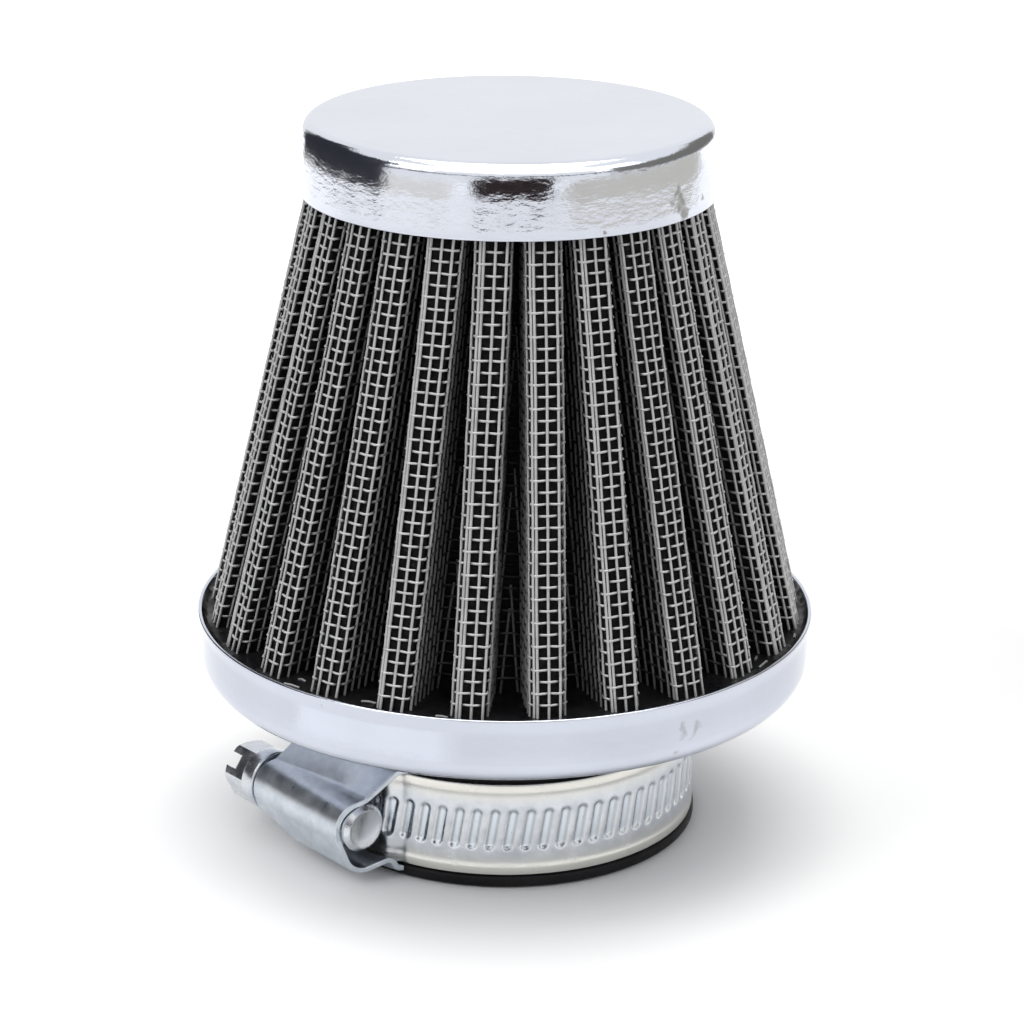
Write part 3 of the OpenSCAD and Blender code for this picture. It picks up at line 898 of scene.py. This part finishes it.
def stripMesh():
    p = clampBand
    total = 360 + p["start"] + p["tail"]
    step = p["column"] / (p["radius"] * math.pi / 180)
    columns = int(total / step)
    section = stripSection()
    count = len(section)
    points, along, across, outward = [], [], [], []
    for i in range(columns + 1):
        u = total * i / columns
        turn = math.radians(p["start"] - u + clampTurn)
        base = stripRadius(u)
        for x, z, outer in section:
            r = base + x
            points.append((r * math.cos(turn), r * math.sin(turn), bandLow.z + z))
            pressed = outer and total - u < p["slotted"]
            along.append((total - u) * math.pi / 180 * p["radius"] if pressed else p["unslotted"])
            across.append(z - (bandHigh.z - bandLow.z) / 2)
            outward += (math.cos(turn), math.sin(turn), 0)
    rings = [list(range(i * count, (i + 1) * count)) for i in range(columns + 1)]
    faces = skinOver(rings)
    faces += [tuple(rings[0]), tuple(reversed(rings[-1]))]
    mesh = meshFrom("stripPlain", points, faces, sharp=50)
    keepValues(mesh, "along", along)
    keepValues(mesh, "across", across)
    keepValues(mesh, "outward", outward, "FLOAT_VECTOR")
    return mesh


def slotTree():
    # presses a row of leaning slots into the strip's outer face
    tree, given, result = newTree("pressedSlots", Pitch="Float", Wide="Float", Long="Float", Deep="Float",
                                  Lean="Float", Wall="Float", Band_finish="Material")
    named = {}
    for name, kind in (("along", "FLOAT"), ("across", "FLOAT"), ("outward", "FLOAT_VECTOR")):
        reader = addNode(tree, "GeometryNodeInputNamedAttribute", {"data_type": kind}, Name=name)
        named[name] = reader.outputs["Attribute"]
    leant = sums(tree, "MULTIPLY_ADD", named["across"], given["Lean"], named["along"])
    cell = sums(tree, "DIVIDE", leant, given["Pitch"])
    local = sums(tree, "SUBTRACT", sums(tree, "FRACT", cell), 0.5)
    side = times(tree, local, given["Pitch"])
    half = times(tree, given["Wide"], 0.5)
    straight = sums(tree, "SUBTRACT", times(tree, given["Long"], 0.5), half)
    past = sums(tree, "SUBTRACT", sums(tree, "ABSOLUTE", named["across"]), straight)
    end = sums(tree, "MAXIMUM", past, 0.0)
    away = sums(tree, "SQRT", sums(tree, "ADD", times(tree, side, side), times(tree, end, end)))
    pressed = addNode(tree, "ShaderNodeMapRange", {"interpolation_type": "SMOOTHSTEP"}, Value=away,
                      From_Min=sums(tree, "SUBTRACT", half, given["Wall"]), From_Max=half,
                      To_Min=-1, To_Max=0).outputs[0]
    slotted = sums(tree, "GREATER_THAN", named["along"], times(tree, given["Pitch"], 0.6))
    depth = times(tree, times(tree, pressed, given["Deep"]), slotted)
    move = addNode(tree, "ShaderNodeVectorMath", {"operation": "SCALE"}, Vector=named["outward"], Scale=depth)
    sideShare = sums(tree, "ADD", sums(tree, "DIVIDE", side, given["Wide"]), 0.5)
    mask = times(tree, times(tree, pressed, slotted), -1.0)
    marked = given["Geometry"]
    # a slot's side and its mask, which the band's finish reads for the painted light in its slots
    for name, value in (("slotSide", sideShare), ("slotMask", mask)):
        store = addNode(tree, "GeometryNodeStoreNamedAttribute", {"data_type": "FLOAT", "domain": "POINT"},
                        Geometry=marked, Name=name, Value=value)
        marked = store.outputs[0]
    shaped = addNode(tree, "GeometryNodeSetPosition", Geometry=marked, Offset=move.outputs["Vector"])
    endTree(tree, result, shaped.outputs[0], given["Band finish"])
    return tree


bandMesh = runTree("bandStrip", stripMesh(), slotTree(), Pitch=clampBand["slotPitch"],
                   Wide=clampBand["slotWide"], Long=clampBand["slotLong"], Deep=clampBand["slotDeep"] * mm,
                   Lean=math.tan(math.radians(clampBand["slotLean"])), Wall=clampBand["slotWall"],
                   Band_finish=zincBand)
addPiece("bandStrip", bandMesh, None, "filter", "zinc_band", "clamp_band")
print("band pressed", len(bandMesh.polygons), "faces")


# Clamp housing: one bent sheet from over the band, round the screw and under the band

housing = {
    "thick": 0.7,
    "tubeX": 29.6,
    "tubeZ": 7.79,
    "tube": 3.6,  # radius of the sheet's middle line round the screw
    "headTube": 3.45,  # the same at the head's end, where the tube narrows
    "headShare": 0.4,  # share of the length over which it does
    "back": -11.5,
    "fore": 6.1,
    "foreSlant": 0.3,  # the sheet's end is cut at a slant and reaches further next to the band
    "slantFrom": 33.3,
    "arch": 0.75,  # how far the top of the tube stands back from the head's collar
    "archMiddle": 95,  # degrees round the tube
    "archReach": 55,
    "wrapTop": 80,
    "wrapLow": -20,
    "saddle": 3.0,
    "headSaddle": 0.8,
    "edge": 1.0,
    "seat": 0.05,
    "heel": 2.4,
    "heelLift": 0.7,
    "headLift": 2.6,
    "knee": 1.0,
    "kneeRise": 15,
    "kneeFall": 60,
    "toe": 0.8,
    "cornerGap": 0.15,
    "wallThick": 0.7,  # the end wall that the screw runs in
    "wallBack": -11.3,
    "wallSteps": 64,
    "journal": 2.55,
    "grooveR": 24.85,
    "lipR": 25.8,
    "columns": 44,
    "softEdge": 0.12,
    "softFrom": 50,  # degrees of a bend from which its edge is softened
}


def walkPath(start, legs):
    # start and each stop are (x, z, heading); a leg is (length, bend, steps)
    x, z, heading = start
    line = []
    for length, bend, steps in legs:
        for i in range(steps):
            a = math.radians(heading + bend / steps / 2)
            x += length / steps * math.cos(a)
            z += length / steps * math.sin(a)
            heading += bend / steps
            line.append((x, z, heading))
    return line


def bendLeg(radius, bend, steps=8):
    return radius * abs(bend) * math.pi / 180, bend, steps


def eased(share):
    share = min(1, max(0, share))
    return share * share * (3 - 2 * share)


def ringX(radius, y):
    return math.sqrt(radius ** 2 - y ** 2)


def overBand(tube, saddle, strip, y):
    # from the tube's top, up the saddle and over the band's upper edge
    p = housing
    flangeZ = bandHigh.z + p["seat"] + p["thick"] / 2
    a = math.radians(p["wrapTop"])
    topX, topZ = p["tubeX"] + tube * math.cos(a), p["tubeZ"] + tube * math.sin(a)
    way = Vector((strip - topX - saddle * math.cos(a), flangeZ - p["edge"] - topZ - saddle * math.sin(a)))
    bends = saddle + p["edge"]
    rise = math.degrees(math.atan2(way.y, way.x)) % 360 - math.degrees(math.asin(bends / way.length))
    straight = math.sqrt(way.length ** 2 - bends ** 2)
    return walkPath((topX, topZ, p["wrapTop"] + 90), [
        bendLeg(saddle, rise - p["wrapTop"] - 90), (straight, 0, 3), bendLeg(p["edge"], 180 - rise),
        (strip - ringX(p["grooveR"], y), 0, 2)])


def underBand(tube, lift, strip, y):
    # from the tube's side, round the heel, over the knee and under the band's lower edge
    p = housing
    footZ = bandLow.z - p["seat"] - p["thick"] / 2
    a = math.radians(p["wrapLow"])
    start = (p["tubeX"] + tube * math.cos(a), p["tubeZ"] + tube * math.sin(a), p["wrapLow"] - 90)
    drop = (start[1] - p["heel"] * (1 + math.sin(a)) - footZ - lift) / math.cos(a)
    heel = walkPath(start, [(drop, 0, 2), bendLeg(p["heel"], -90 - p["wrapLow"]),
                            bendLeg(p["heel"], -p["kneeRise"], 3)])
    rise, fall = math.radians(p["kneeRise"]), math.radians(p["kneeFall"])
    knee = bendLeg(p["knee"], p["kneeRise"] + p["kneeFall"])
    end = walkPath(heel[-1], [knee])[-1]
    room = (end[0] - (end[1] - bandLow.z) / math.tan(fall) - p["thick"] / 2 / math.sin(fall)
            - strip - p["cornerGap"])
    reach = max(room, 0) / (math.cos(rise) + math.sin(rise) / math.tan(fall))
    wave = walkPath(heel[-1], [(reach, 0, 2), knee])
    down = (wave[-1][1] - footZ - p["toe"] * (1 - math.cos(fall))) / math.sin(fall)
    foot = walkPath(wave[-1], [(down, 0, 2), bendLeg(p["toe"], -p["kneeFall"])])
    toe = walkPath(foot[-1], [(max(foot[-1][0] - ringX(p["lipR"], y), 0.1), 0, 2)])
    return [start] + heel + wave + foot + toe


def housingLine(share, y):
    # middle line of the sheet at a share of the housing's length, head's end 0, tip's end 1
    p = housing
    near = eased(share / p["headShare"])
    tube = p["headTube"] + (p["tube"] - p["headTube"]) * near
    lift = p["headLift"] + (p["heelLift"] - p["headLift"]) * near
    saddle = p["headSaddle"] + (p["saddle"] - p["headSaddle"]) * share
    strip = ringX(clampBand["overRadius"] + clampBand["thick"], y)
    line = [(x, z, a - 180) for x, z, a in reversed(overBand(tube, saddle, strip, y))]
    for a in range(p["wrapTop"], p["wrapLow"], -5):
        turn = math.radians(a)
        line.append((p["tubeX"] + tube * math.cos(turn), p["tubeZ"] + tube * math.sin(turn), a - 90))
    return line + underBand(tube, lift, strip, y)


def archAt(x, z):
    # 1 over the top of the tube, 0 away from it
    p = housing
    away = math.degrees(math.atan2(z - p["tubeZ"], x - p["tubeX"])) - p["archMiddle"]
    return math.cos(math.radians(90 * min(1, abs(away) / p["archReach"]))) ** 2


def foreAt(x):
    return housing["fore"] + housing["foreSlant"] * max(0, housing["slantFrom"] - x)


def housingMesh():
    p = housing
    half = p["thick"] / 2
    points, rings = [], []
    for i in range(p["columns"] + 1):
        share = i / p["columns"]
        line = housingLine(share, p["back"] + (foreAt(bandHigh.x) - p["back"]) * share)
        section = [(x - side * half * math.sin(math.radians(a)), z + side * half * math.cos(math.radians(a)))
                   for side, stops in ((1, line), (-1, line[::-1])) for x, z, a in stops]
        ring = []
        for x, z in section:
            back = p["back"] + p["arch"] * archAt(x, z)
            ring.append(len(points))
            points.append(clampPlace(x, back + (foreAt(x) - back) * share, z))
        rings.append(ring)
    faces = skinOver(rings)
    count = len(rings[0])
    for ring in (rings[0], rings[-1]):
        faces += [(ring[i], ring[i + 1], ring[count - 2 - i], ring[count - 1 - i])
                  for i in range(count // 2 - 1)]
    wallFore = p["wallBack"] + p["wallThick"]
    wall = turned([(p["journal"], p["wallBack"]), (p["journal"], wallFore), (p["headTube"], wallFore),
                   (p["headTube"], p["wallBack"])], p["wallSteps"],
                  place=lambda x, y, z: clampPlace(p["tubeX"] + x, z, p["tubeZ"] - y))
    return meshFrom("housingSheet", *joined((points, faces), wall), sharp=40)


housingPiece = addPiece("housingSheet", housingMesh(), zincHousing, "filter", "zinc_housing", "clamp_housing")
softEdge = housingPiece.modifiers.new("softEdge", "BEVEL")
softEdge.width = housing["softEdge"] * mm
softEdge.segments = 2
softEdge.limit_method = "ANGLE"
softEdge.angle_limit = math.radians(housing["softFrom"])
print("housing bent")


# Clamp screw: slotted hex head, collar, journal and worm

wormScrew = {
    "x": housing["tubeX"],
    "z": housing["tubeZ"],
    "worm": 3.15,
    "journal": 2.5,
    "flats": 7.0,
    "headBack": -17.95,
    "headFore": -13.85,
    "collarFore": -11.65,
    "wormBack": -10.4,
    "tip": 7.4,
    "tipRound": 0.55,
    "thread": 0.95,  # depth
    "crestShare": 0.12,  # of the pitch, from the middle of a crest to its flank
    "flankShare": 0.2,
    "runIn": 1.2,  # lengths over which the groove grows and dies away
    "runOut": 0.8,
    "lead": 3.0,  # length at the head's end over which the worm grows, where the housing is narrow
    "leadDrop": 0.08,
    "row": 0.15,
    "dish": 0.12,
    "slotWide": 1.9,
    "slotDeep": 2.0,
    "chamfer": 0.5,
    "chamferOut": 0.55,
    "headSteps": 96,
    "shankSteps": 64,
    "wormSteps": 56,
    "headTurn": -36,  # degrees that the head stands turned, with a flat towards +X
    "plain": 1.1,  # length at the tip that has no thread
}


def screwPlace(x, y, z):
    # a turned part's axis runs along the screw
    return clampPlace(wormScrew["x"] + x, z, wormScrew["z"] - y)


def hexRadius(radius, height, turn):
    p = wormScrew
    corner = (math.degrees(turn) - p["headTurn"] + 30) % 60 - 30
    flat = p["flats"] / 2 / math.cos(math.radians(corner))
    cone = p["flats"] / 2 + (height - p["headBack"]) / p["chamfer"] * p["chamferOut"]
    return min(flat, cone, radius)


def threadRadius(radius, height, turn):
    p = wormScrew
    phase = (height / clampBand["slotPitch"] - turn / (2 * math.pi)) % 1
    groove = min(1, max(0, (0.5 - abs(phase - 0.5) - p["crestShare"]) / p["flankShare"]))
    begun = eased((height - p["wormBack"]) / p["runIn"])
    ended = eased((p["tip"] - p["plain"] - height) / p["runOut"])
    depth = p["thread"] * groove * (begun * ended)
    crest = p["worm"] - p["leadDrop"] * (1 - eased((height - p["wormBack"]) / p["lead"]))
    return min(radius, crest - depth)


def headMesh():
    p = wormScrew
    corner = p["flats"] / 2 / math.cos(math.radians(30))
    heights = [p["headBack"] + f for f in (0, 0.1, 0.2, 0.3, 0.4, 0.5, 0.7, 1.5, 2.2, 3.0)]
    profile = [(0, p["headBack"])] + [(corner, h) for h in heights + [p["headFore"]]] + [(0, p["headFore"])]
    turning = turned(profile, p["headSteps"], closed=False, place=screwPlace, shape=hexRadius)
    head = meshFrom("hexHead", *turning, sharp=30)
    cutter = newObject("driverSlot", meshFrom("driverSlot", *slotBox()))
    body = newObject("hexHead", head)
    cut = body.modifiers.new("slot", "BOOLEAN")
    cut.object = cutter
    cut.operation = "DIFFERENCE"
    cut.solver = "EXACT"
    made = finalMesh(body)
    bpy.data.objects.remove(body)
    bpy.data.objects.remove(cutter)
    return made


def slotBox():
    p = wormScrew
    back, deep, half, reach = p["headBack"] - 1, p["headBack"] + p["slotDeep"], p["slotWide"] / 2, 6
    c, s = math.cos(math.radians(p["headTurn"])), math.sin(math.radians(p["headTurn"]))
    corners = [screwPlace(x * c - y * s, x * s + y * c, z)
               for z in (back, deep) for y in (-half, half) for x in (-reach, reach)]
    return corners, [(0, 1, 3, 2), (4, 6, 7, 5), (0, 4, 5, 1), (2, 3, 7, 6), (0, 2, 6, 4), (1, 5, 7, 3)]


def screwMesh():
    p = wormScrew
    collarR = p["flats"] / 2 / math.cos(math.radians(30))
    collar = [(0, p["headFore"] - 0.05)] + arcPoints(collarR - 0.2, p["headFore"] + 0.15, 0.2, -90, 0, 3)
    collar += arcPoints(collarR - 0.2, p["collarFore"] - 0.2, 0.2, 0, 90, 3)
    collar += [(p["journal"], p["collarFore"]), (p["journal"], p["wormBack"] + 0.3), (0, p["wormBack"] + 0.3)]
    shank = turned(collar, p["shankSteps"], closed=False, place=screwPlace)
    rows = int((p["tip"] - p["tipRound"] - p["wormBack"]) / p["row"])
    worm = [(0, p["wormBack"])]
    worm += [(p["worm"], p["wormBack"] + p["row"] * i) for i in range(rows)]
    worm += [(p["worm"] - f * p["tipRound"], p["tip"] - p["tipRound"] * (1 - f)) for f in (0, 0.33, 0.66, 1)]
    worm += [(2.3, p["tip"]), (2.1, p["tip"] - p["dish"]), (0, p["tip"] - p["dish"])]
    thread = turned(worm, p["wormSteps"], closed=False, place=screwPlace, shape=threadRadius)
    mesh = meshFrom("wormScrew", *joined(shank, thread), sharp=38)
    whole = bmesh.new()
    whole.from_mesh(mesh)
    whole.from_mesh(headMesh())
    whole.to_mesh(mesh)
    whole.free()
    return mesh


addPiece("wormScrew", screwMesh(), zincScrew, "worm_screw", "zinc_screw", "clamp_screw")
print("screw cut")


# Floor, light and camera

studio = {
    "worldFill": 0.42,
    "floorColour": 0.8,
    # painted light: near the object the glow stays low at the neck, where the contact shadow falls, and lifts
    # the shadow round it; further out it whitens the floor
    "glow": [(0.026, 0.01), (0.034, 0.15), (0.046, 0.2), (0.07, 0.17), (0.1, 0.02), (0.15, 0), (0.27, 0.12),
             (0.45, 0.25), (1.0, 0.7), (2.5, 1.0)],  # by distance from the object
    "backGlow": [(0.0, 0), (0.12, 0.2), (0.5, 0.45)],  # behind it, by distance
    "glowPatch": [(0.08, 0), (0.09, 0.2), (0.16, 0.2), (0.18, 0)],
    "glowPatchTurns": [(-1.16, 0), (-1.12, 1), (-0.36, 1), (-0.2, 0)],  # radians from the camera's side
    "floorLevel": -0.1,
    "floorSize": 6.0,  # metres, as are the places of lamps and cards
    "cardCentre": 0.09,
    "cardReach": 0.3,
    "cardApart": 0.002,  # each new card lies so much further out
    "cardStep": 6,  # degrees
}


def seenRays(tree):
    rays = addNode(tree, "ShaderNodeLightPath").outputs
    return sums(tree, "MAXIMUM", sums(tree, "MAXIMUM", rays["Is Camera Ray"], rays["Is Glossy Ray"]),
                rays["Is Transmission Ray"])


def whiteWorld():
    world = bpy.data.worlds.new("studio")
    world.use_nodes = True
    tree = world.node_tree
    strength = rangeOf(tree, seenRays(tree), 0, 1, studio["worldFill"], 1)
    feed(tree, tree.nodes["Background"], Color=(1, 1, 1, 1), Strength=strength)
    bpy.context.scene.world = world


def stepped(tree, value, stops):
    # straight lines between the stops, level outside them
    total = stops[0][1]
    for (near, low), (far, high) in zip(stops, stops[1:]):
        total = sums(tree, "ADD", total, rangeOf(tree, value, near, far, 0, high - low))
    return total


def azimuthOf(tree, parts):
    # radians round from the camera's side
    return sums(tree, "ARCTAN2", parts["X"], times(tree, parts["Y"], -1.0))


def floorFinish():
    # the floor glows to white round the object and behind it; near the object the glow is painted light that
    # lifts its shadow, kept low at the neck
    shade = studio["floorColour"]
    finish, tree, shader = newFinish("floor", (shade, shade, shade), 0.0, 0.9, Specular_IOR_Level=0.1)
    coords = objectPlace(tree)
    away = vectorSums(tree, "LENGTH", coords)["Value"]
    parts = addNode(tree, "ShaderNodeSeparateXYZ", Vector=coords).outputs
    near = stepped(tree, away, studio["glow"])
    white = sums(tree, "ADD", near, stepped(tree, parts["Y"], studio["backGlow"]))
    # a patch of painted light on the floor in front on the left, for a painted reflection in the pan
    turn = stepped(tree, azimuthOf(tree, parts), studio["glowPatchTurns"])
    glowPatch = times(tree, turn, stepped(tree, away, studio["glowPatch"]))
    white = sums(tree, "ADD", white, glowPatch)
    glow = times(tree, seenRays(tree), white)
    feed(tree, shader, Emission_Color=(1, 1, 1, 1), Emission_Strength=glow)
    return finish


def addFloor():
    reach = studio["floorSize"] / 2 / mm
    corners = [(x * reach, y * reach, studio["floorLevel"]) for x, y in ((-1, -1), (1, -1), (1, 1), (-1, 1))]
    floor = newObject("floor", meshFrom("floor", corners, [(0, 1, 2, 3)], outward=False))
    floor.data.materials.append(floorFinish())


def addLamp(name, place, target, size, energy):
    lamp = bpy.data.lights.new(name, "AREA")
    lamp.shape = "RECTANGLE"
    lamp.size, lamp.size_y = size
    lamp.energy = energy
    piece = newObject(name, lamp)
    piece.location = place
    piece.rotation_euler = (Vector(target) - Vector(place)).to_track_quat("-Z", "Y").to_euler()


def cardCover(tree, azimuths, elevations, soft, ragged):
    # how much a card covers: less towards its edges, which are ragged
    centred = vectorSums(tree, "SUBTRACT", objectPlace(tree), (0, 0, studio["cardCentre"]))["Vector"]
    way = vectorSums(tree, "NORMALIZE", centred)["Vector"]
    parts = addNode(tree, "ShaderNodeSeparateXYZ", Vector=way).outputs
    height = sums(tree, "ARCSINE", parts["Z"])
    cover = 1.0
    for angle, limits in ((azimuthOf(tree, parts), azimuths), (height, elevations)):
        low, high = math.radians(limits[0]), math.radians(limits[1])
        edge = sums(tree, "MINIMUM", sums(tree, "SUBTRACT", angle, low), sums(tree, "SUBTRACT", high, angle))
        blur = min(math.radians(soft), (high - low) / 3)
        share = rangeOf(tree, edge, 0, blur, 0, 1)
        cover = times(tree, cover, share)
    rough = rangeOf(tree, grainOn(tree, 45, detail=4, rough=0.65), 0.3, 0.7, -ragged, ragged)
    return rangeOf(tree, sums(tree, "ADD", cover, rough), 0.25, 0.75, 0, 1)


def addCard(name, azimuths, elevations, colour, strength=1, soft=4, ragged=0.3):
    # a strip of a globe that only mirrors see; azimuth 0 is the camera's side and grows towards +X
    finish, tree, shader = newFinish(name, (0, 0, 0), 0.0, 1.0, Specular_IOR_Level=0.0)
    feed(tree, shader, Emission_Color=(*colour, 1), Emission_Strength=strength,
         Alpha=cardCover(tree, azimuths, elevations, soft, ragged))
    reach = studio["cardReach"] + studio["cardApart"] * len(bpy.data.materials)
    columns = math.ceil((azimuths[1] - azimuths[0]) / studio["cardStep"])
    corners = []
    for i in range(columns + 1):
        a = math.radians(azimuths[0] + (azimuths[1] - azimuths[0]) * i / columns)
        for elevation in elevations:
            e = math.radians(elevation)
            way = Vector((math.sin(a) * math.cos(e), -math.cos(a) * math.cos(e), math.sin(e)))
            corners.append(way * reach + Vector((0, 0, studio["cardCentre"])))
    faces = [(2 * i, 2 * i + 2, 2 * i + 3, 2 * i + 1) for i in range(columns)]
    mesh = bpy.data.meshes.new(name)
    mesh.from_pydata(corners, [], faces)
    mesh.materials.append(finish)
    card = newObject(name, mesh)
    for ray in ("camera", "diffuse", "shadow", "transmission", "volume_scatter"):
        setattr(card, "visible_" + ray, False)


def addCamera():
    view = {"place": (0, -0.3891, 0.1821), "down": 19.81, "roll": 0.51, "lens": 110.8, "shift": 0.00615}
    camera = bpy.data.cameras.new("camera")
    camera.sensor_width = 36
    camera.lens = view["lens"]
    camera.shift_x = view["shift"]
    camera.clip_start = 0.01
    piece = newObject("camera", camera)
    tilt = Matrix.Rotation(math.radians(90 - view["down"]), 4, "X")
    roll = Matrix.Rotation(math.radians(view["roll"]), 4, "Z")
    piece.matrix_world = Matrix.Translation(view["place"]) @ tilt @ roll
    bpy.context.scene.camera = piece


whiteWorld()
addFloor()
addLamp("topSoft", (0.0, 0.06, 0.8), (0, 0, 0.04), (0.6, 0.6), 4.2)
addLamp("leftSoft", (-0.55, -0.3, 0.6), (0, 0, 0.05), (0.45, 0.45), 1.9)
addLamp("rightSoft", (0.6, -0.25, 0.55), (0, 0, 0.05), (0.45, 0.45), 0.8)
addCard("cameraRed", (-8, 17), (-1, 7), (0.3, 0.1, 0.1), soft=6, ragged=0.2)
addCard("cameraSide", (-23, 28), (-14, 11), (0.03, 0.02, 0.02), soft=9, ragged=0.35)
addCard("lowRing", (-72, 70), (10, 15.5), (0.13, 0.13, 0.14), soft=1.2, ragged=0.1)
addCard("highlight", (-66, 66), (27, 72), (1, 1, 1), 1.7, soft=9, ragged=0.1)
addCard("darkLeft", (-150, -62), (-15, 46), (0.035, 0.038, 0.044), soft=9)
addCard("warmLeft", (-150, -24), (-14, 2), (0.9, 0.88, 0.82), soft=10, ragged=0.35)
addCard("warmRight", (22, 130), (-17, 5), (0.68, 0.65, 0.58), soft=14, ragged=0.3)
addCard("dimRight", (52, 155), (-2, 36), (0.22, 0.21, 0.19), soft=9)
addCamera()
view = bpy.context.scene.view_settings
view.view_transform = "Standard"
print("studio set")
